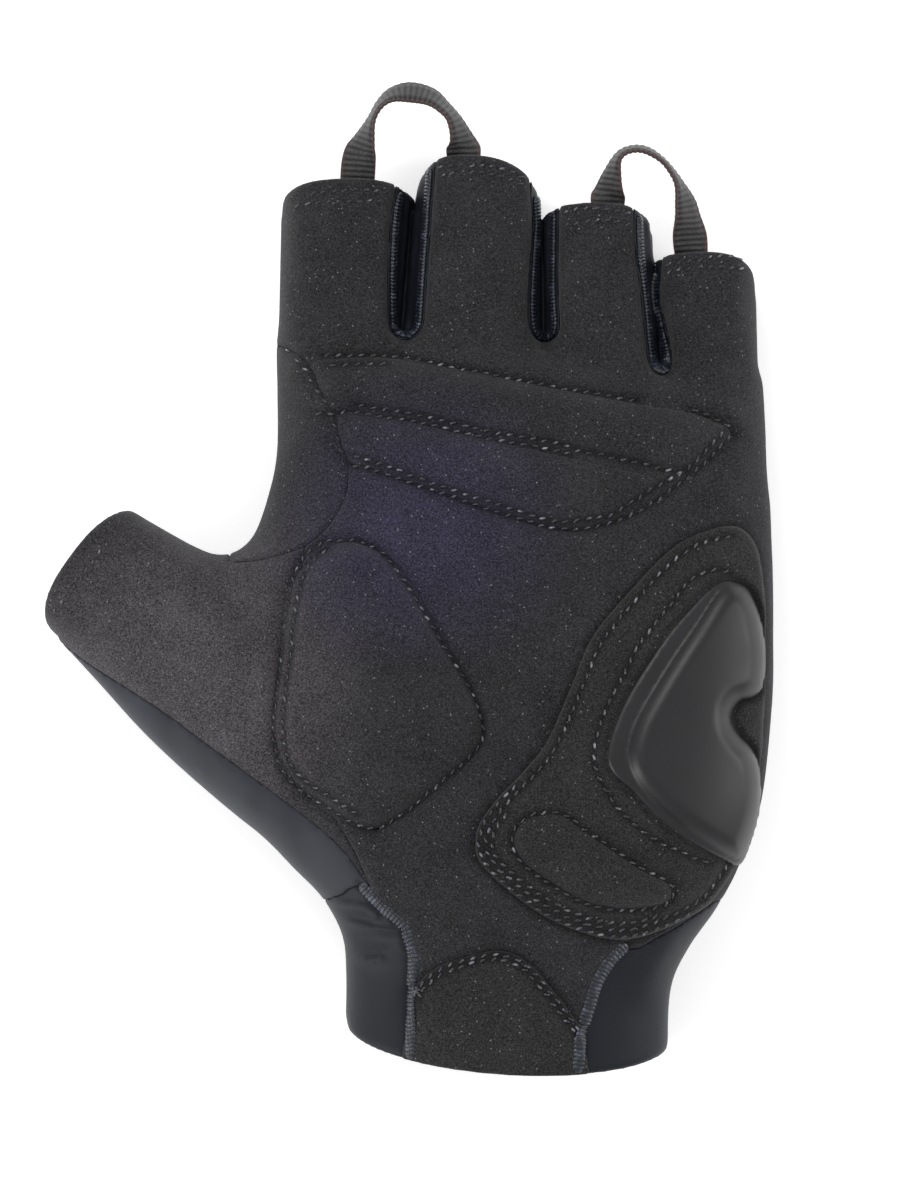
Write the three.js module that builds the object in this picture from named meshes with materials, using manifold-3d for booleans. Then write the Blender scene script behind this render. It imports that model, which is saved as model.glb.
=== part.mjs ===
// A fingerless cycling glove for the left hand, lying on its back with the palm up.
// Millimetres, +Z up. The fingers point along +Y and the thumb towards -X.
// The glove is a hollow shell of cloth, cut into the panels that it is sewn from, with pads, seam
// bindings and two pull tabs of ribbon on it.
import * as THREE from "three";
import { mergeVertices } from "three/addons/utils/BufferGeometryUtils.js";
import Module from "manifold-3d";

const wasm = await Module();
wasm.setup();

// Driving sizes
const HAND_LENGTH = 129.5; // middle of the wrist hem to the line of the crotches between the fingers
const PALM_FLARE = 5.8; // how much wider the palm is than the four fingers side by side
const PALM_DEPTH = 35; // floor to the crown of the palm
const FINGER_GAP = 0.4; // between two finger tubes at their rims
const FINGER_LIFT = 3; // how far a rim's underside rises off the floor
const THUMB_REACH = 66.6; // middle of the thumb's root to its rim
const THUMB_WIDTH = 27.2; // across the rim
const THUMB_DEPTH = 20; // through the rim
const THUMB_HEADING = 137; // from +X, seen from above
const THUMB_LIFT = 7; // underside of the rim off the floor
const THUMB_CAP = 7;
const HEM_DIP = 7.6; // how far the wrist hem dips below its corners
const HEM_LOWEST = -0.026; // its lowest point, as a share of HAND_LENGTH
const WALL = 1.6; // suede with its lining, and the stretch cloth
const SEAM_GAP = 0.3; // between neighbouring pieces
const FOURCHETTE_WIDTH = 6.2; // strip of stretch cloth between two fingers, seen from the palm
const FOURCHETTE_DIP = 2.7; // how far it runs below the crotch
const PATCH_THICKNESS = 1.6;
const PAD_THICKNESS = 2.4; // thumb and knuckle pads
const HEEL_PAD_THICKNESS = 1.6;
const GEL_THICKNESS = 4; // moulded pad
const HEEL_PATCH_THICKNESS = 1.1;
const BINDING_WIDTH = 2.3; // overlocked cord along each cuff seam
const BINDING_THICKNESS = 1;
const RIBBON_WIDTH = 6.4;
const RIBBON_THICKNESS = 0.9;
const TAB_SEAT = 5; // length of ribbon sewn under a rim
const TAB_CLEARANCE = 0.45; // between that length and the rim

// width and depth are at the rim, root is the width at the crotch as a share of it, and reach runs
// from the line of the crotches to the rim's crown. peak is where the crown lies, as a share of the
// half width, and left and right are how far the rim's corners fall back behind it.
const FINGERS = [
  { name: "index", width: 24.6, root: 0.92, depth: 20, reach: 28.4, peak: 0, left: 6.2, right: 6 },
  { name: "middle", width: 22.9, root: 1.13, depth: 20.5, reach: 35.6, peak: -0.26, left: 9.8, right: 12.4 },
  { name: "ring", width: 20.1, root: 1.06, depth: 19.5, reach: 29.5, peak: 0, left: 4, right: 6.3 },
  { name: "little", width: 18.9, root: 0.95, depth: 18, reach: 22.8, peak: 0, left: 3.1, right: 7.4 },
];
const KNUCKLE_SPAN =
  FINGERS.reduce((sum, finger) => sum + finger.width, 0) + FINGER_GAP * (FINGERS.length - 1);
const PALM_WIDTH = KNUCKLE_SPAN + PALM_FLARE;

// Fineness of the faceted solids
const HAND_SIDES = 30;
const FINGER_SIDES = 16;
const THUMB_SIDES = 18;
const STEPS_PER_ROW = 1;

// How cloth tubes are shaped: a squared oval whose underside the floor flattens
const TUBE_SQUARENESS = 2.4;
const BELLY = 0.84; // height of a tube's middle as a share of its half depth
const OVERRUN = 6; // a tube is made longer than the glove and then trimmed
const ROOT_OVERLAP = 18; // length of a finger tube inside the hand
const FAR = 400; // larger than the glove

// Sections of the hand from the wrist hem to the crotches. along is a share of HAND_LENGTH, left and
// right are shares of PALM_WIDTH from the hand's axis, crown is a share of PALM_DEPTH, tilt is the
// slope of the section line, and end is 1 where the section moves with a change of wall.
const HAND_SECTIONS = [
  { along: -0.1, left: -0.344, right: 0.296, crown: 0.86, tilt: -0.06, end: 0 },
  { along: 0, left: -0.344, right: 0.296, crown: 0.86, tilt: -0.06, end: 0 },
  { along: 0.101, left: -0.342, right: 0.301, crown: 0.88, tilt: -0.05, end: 0 },
  { along: 0.16, left: -0.35, right: 0.336, crown: 0.93, tilt: -0.04, end: 0 },
  { along: 0.217, left: -0.39, right: 0.392, crown: 0.98, tilt: -0.03, end: 0 },
  { along: 0.276, left: -0.45, right: 0.437, crown: 1.0, tilt: -0.02, end: 0 },
  { along: 0.36, left: -0.482, right: 0.48, crown: 1.0, tilt: 0, end: 0 },
  { along: 0.503, left: -0.49, right: 0.502, crown: 0.97, tilt: 0, end: 0 },
  { along: 0.6, left: -0.54, right: 0.504, crown: 0.94, tilt: 0, end: 0 },
  { along: 0.66, left: -0.59, right: 0.504, crown: 0.92, tilt: 0, end: 0 },
  { along: 0.7, left: -0.58, right: 0.503, crown: 0.91, tilt: 0, end: 0 },
  { along: 0.735, left: -0.526, right: 0.501, crown: 0.89, tilt: -0.01, end: 0 },
  { along: 0.789, left: -0.495, right: 0.499, crown: 0.86, tilt: -0.03, end: 0 },
  { along: 0.84, left: -0.479, right: 0.493, crown: 0.83, tilt: -0.05, end: 0 },
  { along: 0.917, left: -0.473, right: 0.488, crown: 0.77, tilt: -0.09, end: 0 },
  { along: 0.967, left: -0.462, right: 0.482, crown: 0.69, tilt: -0.12, end: 1 },
  { along: 1, left: -0.44, right: 0.472, crown: 0.57, tilt: -0.12, end: 1 },
];
const CROTCH_TILT = HAND_SECTIONS.at(-1).tilt;

// Sections of the thumb from its root in the palm to past its rim. along and across are shares of
// THUMB_REACH, width of THUMB_WIDTH, depth of THUMB_DEPTH and lift of THUMB_LIFT. turn is the section
// line's heading in degrees.
const THUMB_SECTIONS = [
  { along: 0, across: -0.02, width: 1.24, depth: 1.2, lift: 0.3, turn: 86 },
  { along: 0.209, across: 0, width: 1.3, depth: 1.45, lift: 0.15, turn: 83 },
  { along: 0.4, across: 0, width: 1.28, depth: 1.42, lift: 0.15, turn: 74 },
  { along: 0.584, across: -0.014, width: 1.29, depth: 1.24, lift: 0.4, turn: 66 },
  { along: 0.758, across: -0.007, width: 1.12, depth: 1.1, lift: 0.7, turn: 58 },
  { along: 0.929, across: 0.004, width: 1, depth: 1, lift: 1, turn: 53 },
  { along: 1.06, across: 0.008, width: 0.98, depth: 1, lift: 1.1, turn: 52 },
];
const THUMB_ROOT = { u: -0.358, v: 0.364 }; // shares of PALM_WIDTH and HAND_LENGTH
const THUMB_RIM = THUMB_SECTIONS.at(-2);

// Height of the seam between the palm side and the back, as a share of PALM_DEPTH
const SIDE_SEAM = [
  { along: -0.3, height: 0.38 },
  { along: 0.25, height: 0.4 },
  { along: 0.6, height: 0.38 },
  { along: 0.9, height: 0.29 },
  { along: 1, height: 0.25 },
  { along: 1.1, height: 0.25 },
  { along: 1.5, height: 0.28 },
];

// Outlines in the plan view. u is a share of PALM_WIDTH from the hand's axis and v is a share of
// HAND_LENGTH from the wrist hem.
const OUTLINES = {
  thumbPad: [
    [-0.344, 0.731], [-0.235, 0.694], [-0.162, 0.61], [-0.101, 0.531], [-0.073, 0.463], [-0.113, 0.406],
    [-0.23, 0.34], [-0.311, 0.324], [-0.414, 0.367], [-0.481, 0.453], [-0.471, 0.567], [-0.449, 0.671],
  ],
  knucklePadUpper: [
    [-0.395, 0.99], [-0.245, 0.993], [-0.117, 0.977], [0.061, 0.951], [0.218, 0.929], [0.34, 0.914],
    [0.417, 0.889], [0.406, 0.86], [0.338, 0.836], [0.269, 0.842], [0.164, 0.858], [0.036, 0.879],
    [-0.142, 0.906], [-0.245, 0.923], [-0.37, 0.933], [-0.403, 0.969],
  ],
  knucklePadLower: [
    [-0.354, 0.912], [-0.245, 0.906], [-0.142, 0.889], [0.036, 0.86], [0.164, 0.839], [0.258, 0.823],
    [0.265, 0.804], [0.198, 0.766], [0.144, 0.749], [0.081, 0.747], [-0.02, 0.763], [-0.142, 0.794],
    [-0.251, 0.821], [-0.33, 0.84],
  ],
  palmPatch: [
    [0.425, 0.753], [0.36, 0.744], [0.299, 0.72], [0.222, 0.664], [0.144, 0.596], [0.105, 0.531],
    [0.055, 0.449], [0.01, 0.407], [-0.046, 0.364], [-0.081, 0.327], [-0.085, 0.289], [-0.061, 0.263],
    [-0.012, 0.231], [0.049, 0.2], [0.111, 0.18], [0.176, 0.167], [0.243, 0.17], [0.332, 0.196],
    [0.39, 0.226], [0.446, 0.297], [0.478, 0.417], [0.489, 0.589], [0.482, 0.681], [0.465, 0.73],
  ],
  gelPad: [
    [0.4, 0.676], [0.455, 0.649], [0.481, 0.58], [0.483, 0.54], [0.471, 0.511], [0.437, 0.504],
    [0.414, 0.49], [0.427, 0.467], [0.455, 0.444], [0.471, 0.396], [0.468, 0.353], [0.443, 0.288],
    [0.425, 0.274], [0.344, 0.303], [0.222, 0.363], [0.168, 0.421], [0.172, 0.449], [0.231, 0.551],
    [0.332, 0.653],
  ],
  heelPad: [
    [0.038, 0.344], [0.083, 0.344], [0.121, 0.324], [0.188, 0.291], [0.243, 0.264], [0.287, 0.249],
    [0.301, 0.23], [0.277, 0.216], [0.204, 0.211], [0.133, 0.22], [0.065, 0.247], [0.01, 0.276],
    [-0.012, 0.307], [0.004, 0.333],
  ],
  heelPatch: [
    [-0.23, 0.08], [-0.2, 0.103], [-0.156, 0.129], [-0.063, 0.15], [-0.01, 0.146], [0.028, 0.127],
    [0.065, 0.096], [0.105, 0.058], [0.16, 0.02], [0.16, -0.12], [-0.23, -0.12],
  ],
};

// Seam lines in the plan view, in the same shares
const SEAMS = {
  cuffLeft: [
    [-0.311, 0.246], [-0.275, 0.216], [-0.231, 0.189], [-0.216, 0.166], [-0.208, 0.134], [-0.212, 0.089],
    [-0.212, 0.036], [-0.216, -0.12],
  ],
  cuffRight: [
    [0.212, 0.16], [0.182, 0.139], [0.154, 0.107], [0.139, 0.073], [0.123, 0.036], [0.117, 0],
    [0.11, -0.12],
  ],
  cuffTop: [
    [-0.433, 0.206], [-0.354, 0.227], [-0.299, 0.24], [-0.1, 0.2], [0.184, 0.153], [0.279, 0.171],
    [0.39, 0.22],
  ],
  thumbBack: [
    [-0.93, 0.6], [-0.843, 0.554], [-0.716, 0.496], [-0.609, 0.44], [-0.463, 0.363], [-0.354, 0.299],
    [-0.291, 0.237],
  ],
  gusset: [
    [-0.49, 1.015], [-0.441, 1], [-0.41, 0.977], [-0.382, 0.933], [-0.354, 0.889], [-0.338, 0.844],
    [-0.34, 0.8], [-0.372, 0.756], [-0.423, 0.724], [-0.5, 0.706], [-0.572, 0.7],
  ],
  thumbRoot: [
    [-0.423, 0.724], [-0.432, 0.66], [-0.452, 0.567], [-0.458, 0.453], [-0.4, 0.378], [-0.33, 0.3],
    [-0.291, 0.237],
  ],
};

// The pull tabs. Each joins the two fingers named. The feet are where its legs leave the rims, as
// shares of the finger's half width, and height runs from the first rim to the bend. across is a share
// of the way between the feet, up of the height, and roll turns the ribbon's face out of the plan view.
const TABS = [
  {
    name: "pull_tab_index_middle",
    fingers: ["index", "middle"],
    feet: [0.145, -0.243],
    height: 15.9,
    route: [
      { across: 0.02, up: 0.28, roll: 20 },
      { across: 0.062, up: 0.453, roll: 52 },
      { across: 0.13, up: 0.686, roll: 77 },
      { across: 0.21, up: 0.86, roll: 76 },
      { across: 0.325, up: 0.97, roll: 65 },
      { across: 0.49, up: 1, roll: 54 },
      { across: 0.68, up: 0.95, roll: 58 },
      { across: 0.81, up: 0.83, roll: 67 },
      { across: 0.91, up: 0.686, roll: 66 },
      { across: 0.985, up: 0.453, roll: 44 },
    ],
  },
  {
    name: "pull_tab_ring_little",
    fingers: ["ring", "little"],
    feet: [0.19, -0.27],
    height: 10.1,
    route: [
      { across: 0.015, up: 0.24, roll: 36 },
      { across: 0.05, up: 0.52, roll: 60 },
      { across: 0.105, up: 0.79, roll: 76 },
      { across: 0.2, up: 0.935, roll: 79 },
      { across: 0.35, up: 0.99, roll: 79 },
      { across: 0.5, up: 0.94, roll: 79 },
      { across: 0.65, up: 0.79, roll: 82 },
      { across: 0.76, up: 0.6, roll: 81 },
      { across: 0.855, up: 0.36, roll: 75 },
      { across: 0.93, up: 0.02, roll: 54 },
      { across: 0.965, up: -0.31, roll: 38 },
    ],
  },
];

const CLOTH = {
  suede: new THREE.MeshStandardMaterial({ color: 0x252326, roughness: 0.95, metalness: 0 }),
  stretch: new THREE.MeshStandardMaterial({ color: 0x1c1f27, roughness: 0.6, metalness: 0 }),
  thread: new THREE.MeshStandardMaterial({ color: 0x1f222b, roughness: 0.7, metalness: 0 }),
  gel: new THREE.MeshStandardMaterial({ color: 0x35353a, roughness: 0.45, metalness: 0 }),
  ribbon: new THREE.MeshStandardMaterial({ color: 0x2b2728, roughness: 0.8, metalness: 0 }),
};

// Turns a closed geometry into a solid for joining and cutting.
function solidOf(geometry) {
  geometry.deleteAttribute("normal");
  geometry.deleteAttribute("uv");
  const merged = mergeVertices(geometry, 1e-4);
  return new wasm.Manifold(
    new wasm.Mesh({
      numProp: 3,
      vertProperties: new Float32Array(merged.attributes.position.array),
      triVerts: new Uint32Array(merged.index.array),
    }),
  );
}

// A closed skin through rings of points, all with the same count, with a fan over each end.
function loft(rings) {
  const sides = rings[0].length;
  const points = rings.flat();
  const faces = [];
  for (let i = 0; i + 1 < rings.length; i++) {
    for (let j = 0; j < sides; j++) {
      const a = i * sides + j;
      const b = i * sides + ((j + 1) % sides);
      faces.push(a, a + sides, b, b, a + sides, b + sides);
    }
  }
  const fan = (ring, first, flip) => {
    const centre = ring.reduce((sum, p) => sum.add(p), new THREE.Vector3()).divideScalar(sides);
    const hub = points.push(centre) - 1;
    for (let j = 0; j < sides; j++) {
      const a = first + j;
      const b = first + ((j + 1) % sides);
      faces.push(hub, ...(flip ? [b, a] : [a, b]));
    }
  };
  fan(rings[0], 0, false);
  fan(rings.at(-1), (rings.length - 1) * sides, true);
  const geometry = new THREE.BufferGeometry().setFromPoints(points);
  geometry.setIndex(faces);
  return solidOf(geometry);
}

// A Catmull-Rom blend of four numbers.
function blend(a, b, c, d, t) {
  const slope = (c - a) / 2;
  const nextSlope = (d - b) / 2;
  const cubic = 2 * b - 2 * c + slope + nextSlope;
  const square = 3 * c - 3 * b - 2 * slope - nextSlope;
  return ((cubic * t + square) * t + slope) * t + b;
}

// Puts smooth in-between rows into a table of sections.
function refine(rows, steps) {
  const fine = [];
  for (let i = 0; i + 1 < rows.length; i++) {
    const four = [rows[Math.max(i - 1, 0)], rows[i], rows[i + 1], rows[Math.min(i + 2, rows.length - 1)]];
    for (let k = 0; k < steps; k++) {
      const row = {};
      for (const key of Object.keys(rows[i])) row[key] = blend(...four.map((r) => r[key]), k / steps);
      fine.push(row);
    }
  }
  return [...fine, rows.at(-1)];
}

// One ring of a cloth tube: a squared oval about a centre, flattened by the floor.
function ring({ x, y, z, turn, halfWidth, halfDepth }, grow, sides) {
  const points = [];
  const power = 2 / TUBE_SQUARENESS;
  const bend = (value) => Math.sign(value) * Math.abs(value) ** power;
  for (let j = 0; j < sides; j++) {
    const angle = (2 * Math.PI * j) / sides;
    const across = (halfWidth + grow) * bend(Math.cos(angle));
    const up = (halfDepth + grow) * bend(Math.sin(angle));
    points.push(
      new THREE.Vector3(
        x + across * Math.cos(turn),
        y + across * Math.sin(turn),
        Math.max(z + up, -grow),
      ),
    );
  }
  return points;
}

// The half depth of a tube with its crown at a height, and the height of its middle.
const halfDepthFor = (depth) => depth / (1 + BELLY);
const middleFor = (depth) => BELLY * halfDepthFor(depth);

function handTube(grow) {
  const rings = refine(HAND_SECTIONS, STEPS_PER_ROW).map((row) => {
    const left = row.left * PALM_WIDTH;
    const right = row.right * PALM_WIDTH;
    const depth = row.crown * PALM_DEPTH;
    const turn = Math.atan(row.tilt);
    const x = (left + right) / 2;
    return ring(
      {
        x,
        y: row.along * HAND_LENGTH + row.tilt * x + row.end * grow,
        z: middleFor(depth),
        turn,
        halfWidth: (right - left) / 2 / Math.cos(turn),
        halfDepth: halfDepthFor(depth),
      },
      grow,
      HAND_SIDES,
    );
  });
  return loft(rings);
}

// Where the line of the crotches lies at x.
const crotchY = (x) => HAND_LENGTH + CROTCH_TILT * x;

// Places the fingers side by side, at their rims and at the crotches.
function placeFingers() {
  const rootSpan =
    FINGERS.reduce((sum, f) => sum + f.width * f.root, 0) + FINGER_GAP * (FINGERS.length - 1);
  let rimEdge = -KNUCKLE_SPAN / 2;
  let rootEdge = -rootSpan / 2;
  return FINGERS.map((finger) => {
    const rootWidth = finger.width * finger.root;
    const rimX = rimEdge + finger.width / 2;
    const rootX = rootEdge + rootWidth / 2;
    rimEdge += finger.width + FINGER_GAP;
    rootEdge += rootWidth + FINGER_GAP;
    return { ...finger, rootWidth, rimX, rootX, rimY: crotchY(rimX) + finger.reach };
  });
}
const PLACED_FINGERS = placeFingers();
const fingerNamed = (name) => PLACED_FINGERS.find((finger) => finger.name === name);

// A finger's section at y. Behind the crotch it draws in, so that the hand hides its end.
const ROOT_DEPTH = 1.12; // depth at the crotch as a share of the rim's
const TUCK = 3.4; // how far each side draws in at the end inside the hand
const CROTCH_MARGIN = 2; // the tuck begins this far behind the line of the crotches
function fingerSection(finger, y) {
  const crotch = crotchY(finger.rootX);
  const share = (y - crotch) / (finger.rimY - crotch);
  const tuck = TUCK * Math.max((crotch - CROTCH_MARGIN - y) / ROOT_OVERLAP, 0);
  const mix = (root, rim) => root + (rim - root) * share;
  const depth = mix(finger.depth * ROOT_DEPTH, finger.depth);
  const halfDepth = halfDepthFor(depth) - tuck / 2;
  return {
    x: mix(finger.rootX, finger.rimX),
    y,
    z: FINGER_LIFT * Math.max(share, 0) + tuck / 2 + middleFor(depth),
    turn: 0,
    halfWidth: mix(finger.rootWidth, finger.width) / 2 - tuck,
    halfDepth,
  };
}

function fingerTube(finger, grow) {
  const crotch = crotchY(finger.rootX) - CROTCH_MARGIN;
  const stations = [crotch - ROOT_OVERLAP, crotch, finger.rimY + OVERRUN];
  return loft(stations.map((y) => ring(fingerSection(finger, y), grow, FINGER_SIDES)));
}

// The thumb's own axes: out along its heading, and across to the left of that.
const THUMB_TURN = THREE.MathUtils.degToRad(THUMB_HEADING);
function thumbPoint(along, across) {
  const out = along * THUMB_REACH;
  const side = across * THUMB_REACH;
  return new THREE.Vector2(
    THUMB_ROOT.u * PALM_WIDTH + out * Math.cos(THUMB_TURN) - side * Math.sin(THUMB_TURN),
    THUMB_ROOT.v * HAND_LENGTH + out * Math.sin(THUMB_TURN) + side * Math.cos(THUMB_TURN),
  );
}

function thumbTube(grow) {
  const rings = refine(THUMB_SECTIONS, STEPS_PER_ROW).map((row) => {
    const depth = row.depth * THUMB_DEPTH;
    const { x, y } = thumbPoint(row.along, row.across);
    return ring(
      {
        x,
        y,
        z: row.lift * THUMB_LIFT + middleFor(depth),
        turn: THREE.MathUtils.degToRad(row.turn),
        halfWidth: (row.width * THUMB_WIDTH) / 2,
        halfDepth: halfDepthFor(depth),
      },
      grow,
      THUMB_SIDES,
    );
  });
  return loft(rings);
}

// Moves each point of a closed outline outwards by a distance.
function offsetOutline(points, distance) {
  const area = THREE.ShapeUtils.area(points);
  return points.map((point, i) => {
    const before = points[(i + points.length - 1) % points.length];
    const after = points[(i + 1) % points.length];
    const along = after.clone().sub(before).normalize();
    const outward = new THREE.Vector2(along.y, -along.x).multiplyScalar(Math.sign(area) * distance);
    return point.clone().add(outward);
  });
}

// A prism over an outline in the plan view, from a height up.
function prism(points, grow = 0, low = -FAR) {
  const shape = new THREE.Shape(offsetOutline(points, grow));
  const geometry = new THREE.ExtrudeGeometry(shape, { depth: 2 * FAR, bevelEnabled: false });
  return solidOf(geometry.translate(0, 0, low));
}

const inPlan = (rows) => rows.map(([u, v]) => new THREE.Vector2(u * PALM_WIDTH, v * HAND_LENGTH));

// A smooth line through plan points, closed for an outline or open for a seam.
function smooth(points, closed, count) {
  const curve = new THREE.CatmullRomCurve3(
    points.map((p) => new THREE.Vector3(p.x, p.y, 0)),
    closed,
    "centripetal",
  );
  const found = curve.getSpacedPoints(count).map((p) => new THREE.Vector2(p.x, p.y));
  return closed ? found.slice(0, -1) : found;
}
const outline = (name, count) => smooth(inPlan(OUTLINES[name]), true, count);
const seam = (name, count = 2 * SEAMS[name].length) => smooth(inPlan(SEAMS[name]), false, count);

// Everything behind a rounded rim in the plan view. The rim faces +Y and its crown is at y = 0.
const CAP_MARGIN = 0.4; // keeps a trimming prism's sides off the tube's
function behindRim({ halfWidth, peak = 0, left, right, squareness }) {
  const steps = 12;
  const edge = halfWidth + CAP_MARGIN;
  const crown = peak * halfWidth;
  const points = [];
  for (let i = 0; i <= steps; i++) {
    const t = Math.cos((Math.PI * i) / steps);
    const fall = 1 - (1 - Math.abs(t) ** squareness) ** (1 / squareness);
    const x = crown + t * (edge - Math.sign(t) * crown);
    points.push(new THREE.Vector2(x, -fall * (t > 0 ? right : left)));
  }
  const corner = (side, y) => new THREE.Vector2(side * 2 * halfWidth, y);
  return [corner(1, -FAR), corner(1, -right), ...points, corner(-1, -left), corner(-1, -FAR)];
}

// Turns an outline about the origin and moves it.
const place = (points, turn, { x, y }) =>
  points.map((p) => p.rotateAround(new THREE.Vector2(), turn).add(new THREE.Vector2(x, y)));

const CAP_SQUARENESS = 2.5;
const HEM_SQUARENESS = 2;

function fingerTrim({ rimX, rimY, width, peak, left, right }) {
  const rim = behindRim({ halfWidth: width / 2, peak, left, right, squareness: CAP_SQUARENESS });
  return prism(place(rim, 0, { x: rimX, y: rimY }));
}

function thumbTrim() {
  const rim = behindRim({
    halfWidth: THUMB_WIDTH / 2,
    left: THUMB_CAP,
    right: THUMB_CAP,
    squareness: CAP_SQUARENESS,
  });
  const turn = THREE.MathUtils.degToRad(THUMB_RIM.turn);
  return prism(place(rim, turn, thumbPoint(1, THUMB_RIM.across)));
}

function hemTrim() {
  const wrist = HAND_SECTIONS[1];
  const hem = behindRim({
    halfWidth: ((wrist.right - wrist.left) / 2) * PALM_WIDTH,
    left: HEM_DIP,
    right: HEM_DIP,
    squareness: HEM_SQUARENESS,
  });
  const turn = Math.PI + Math.atan(wrist.tilt);
  const middle = ((wrist.left + wrist.right) / 2) * PALM_WIDTH;
  return prism(place(hem, turn, { x: middle, y: HEM_LOWEST * HAND_LENGTH }));
}

// The whole glove as one solid, with every surface moved outwards by grow.
const madeForms = new Map();
function form(grow) {
  if (!madeForms.has(grow)) {
    const tubes = [handTube(grow), thumbTube(grow), ...PLACED_FINGERS.map((f) => fingerTube(f, grow))];
    madeForms.set(
      grow,
      tubes.reduce((sum, tube) => sum.add(tube)),
    );
  }
  return madeForms.get(grow);
}

// The hollow shell, trimmed to its rims and hem.
function makeShell() {
  const fingers = PLACED_FINGERS.map((f) => fingerTube(f, 0).intersect(fingerTrim(f)));
  const hand = handTube(0).intersect(hemTrim());
  const thumb = thumbTube(0).intersect(thumbTrim());
  return fingers.reduce((sum, tube) => sum.add(tube), hand.add(thumb)).subtract(form(-WALL));
}

// Zones that divide the shell into its panels. Each takes how much to grow by.

// Everything under the side seams.
function underSeam(grow) {
  const rings = SIDE_SEAM.map(({ along, height }) => {
    const y = along * HAND_LENGTH;
    const top = height * PALM_DEPTH + grow;
    return [
      new THREE.Vector3(FAR, y, -FAR),
      new THREE.Vector3(FAR, y, top),
      new THREE.Vector3(-FAR, y, top),
      new THREE.Vector3(-FAR, y, -FAR),
    ];
  });
  return loft(rings);
}

const cornersInPlan = (...pairs) => inPlan(pairs);

function backZone(grow) {
  const wrapped = [...seam("thumbBack"), ...cornersInPlan([-0.5, 0.05], [-1.2, 0.05], [-1.2, 0.6])];
  return underSeam(grow).add(prism(wrapped, grow));
}

// The suede tongue between the two cuff seams.
function tongueZone(grow) {
  const sides = [...seam("cuffLeft"), ...seam("cuffRight").reverse()];
  const top = cornersInPlan([0.212, 0.4], [-0.311, 0.4]);
  const seamHeight = SIDE_SEAM[0].height * PALM_DEPTH;
  return prism([...sides, ...top], grow, seamHeight - grow);
}

function cuffZone(grow) {
  const below = [
    ...cornersInPlan([-1.2, 0.206]),
    ...seam("cuffTop"),
    ...cornersInPlan([1, 0.22], [1, -0.5], [-1.2, -0.5]),
  ];
  return prism(below, grow).subtract(tongueZone(-grow));
}

// The strip between two neighbouring fingers, round at the crotch.
function fourchetteZone(left, right, grow) {
  const half = FOURCHETTE_WIDTH / 2;
  const rimX = (left.rimX + left.width / 2 + right.rimX - right.width / 2) / 2;
  const rootX = (left.rootX + left.rootWidth / 2 + right.rootX - right.rootWidth / 2) / 2;
  const rimY = Math.max(left.rimY, right.rimY) + OVERRUN;
  const rootY = crotchY(rootX) + half - FOURCHETTE_DIP;
  const points = [new THREE.Vector2(rimX + half, rimY), new THREE.Vector2(rimX - half, rimY)];
  const arcSteps = 6;
  for (let i = 0; i <= arcSteps; i++) {
    const angle = Math.PI * (1 + i / arcSteps);
    points.push(new THREE.Vector2(rootX + half * Math.cos(angle), rootY + half * Math.sin(angle)));
  }
  return prism(points, grow);
}

function gussetZone(grow) {
  return prism([...seam("gusset"), ...cornersInPlan([-0.565, 0.76], [-0.55, 1.015])], grow);
}

function thumbZone(grow) {
  const around = cornersInPlan([-0.4, 0.1], [-1.2, 0.1], [-1.2, 0.95], [-0.6, 0.95], [-0.572, 0.7]);
  return prism([...seam("thumbRoot"), ...around], grow);
}

// Takes the panel in a zone off what is left of the shell.
let remaining = makeShell();
function takePanel(zone) {
  const panel = remaining.intersect(zone(0));
  remaining = remaining.subtract(zone(SEAM_GAP));
  return panel;
}

// A flat piece that follows the palm side inside an outline, between two heights above the surface.
const PALM_SIDE = 0.43; // as a share of PALM_DEPTH, just above the side seams
function overlay(points, low, high, grow = 0) {
  return form(high).subtract(form(low)).intersect(prism(points, grow, PALM_SIDE * PALM_DEPTH));
}

// A pad with a stepped-in edge.
const EDGE_SHARE = 0.55; // height of a pad's edge as a share of its thickness
const EDGE_INSET = 1.1;
function pad(points, low, thickness) {
  const rim = overlay(points, low, low + thickness * EDGE_SHARE);
  return rim.add(overlay(points, low, low + thickness, -EDGE_INSET));
}

// A narrow outline on both sides of a line.
function strip(line, width) {
  const side = (sign) =>
    line.map((point, i) => {
      const before = line[Math.max(i - 1, 0)];
      const after = line[Math.min(i + 1, line.length - 1)];
      const along = after.clone().sub(before).normalize();
      return point.clone().add(new THREE.Vector2(-along.y, along.x).multiplyScalar((sign * width) / 2));
    });
  return [...side(-1), ...side(1).reverse()];
}

// Height of the inside of a finger's palm face, near its rim, at a place across it.
function undersideOfPalm(finger, offset) {
  const section = fingerSection(finger, finger.rimY - TAB_SEAT);
  const t = Math.min(Math.abs(offset) / (section.halfWidth - WALL), 1);
  const share = (1 - t ** TUBE_SQUARENESS) ** (1 / TUBE_SQUARENESS);
  return section.z + (section.halfDepth - WALL) * share;
}

// Where a ribbon's leg leaves a rim, and how it leans to lie against the palm face from inside.
function tabFoot(name, foot) {
  const finger = fingerNamed(name);
  const offset = (foot * finger.width) / 2;
  const [low, high] = [-0.5, 0.5].map((side) => undersideOfPalm(finger, offset + side * RIBBON_WIDTH));
  const z = (low + high) / 2 - TAB_CLEARANCE - RIBBON_THICKNESS / 2;
  return {
    point: new THREE.Vector3(finger.rimX + offset, finger.rimY, z),
    lean: THREE.MathUtils.radToDeg(Math.atan2(high - low, RIBBON_WIDTH)),
  };
}

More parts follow.
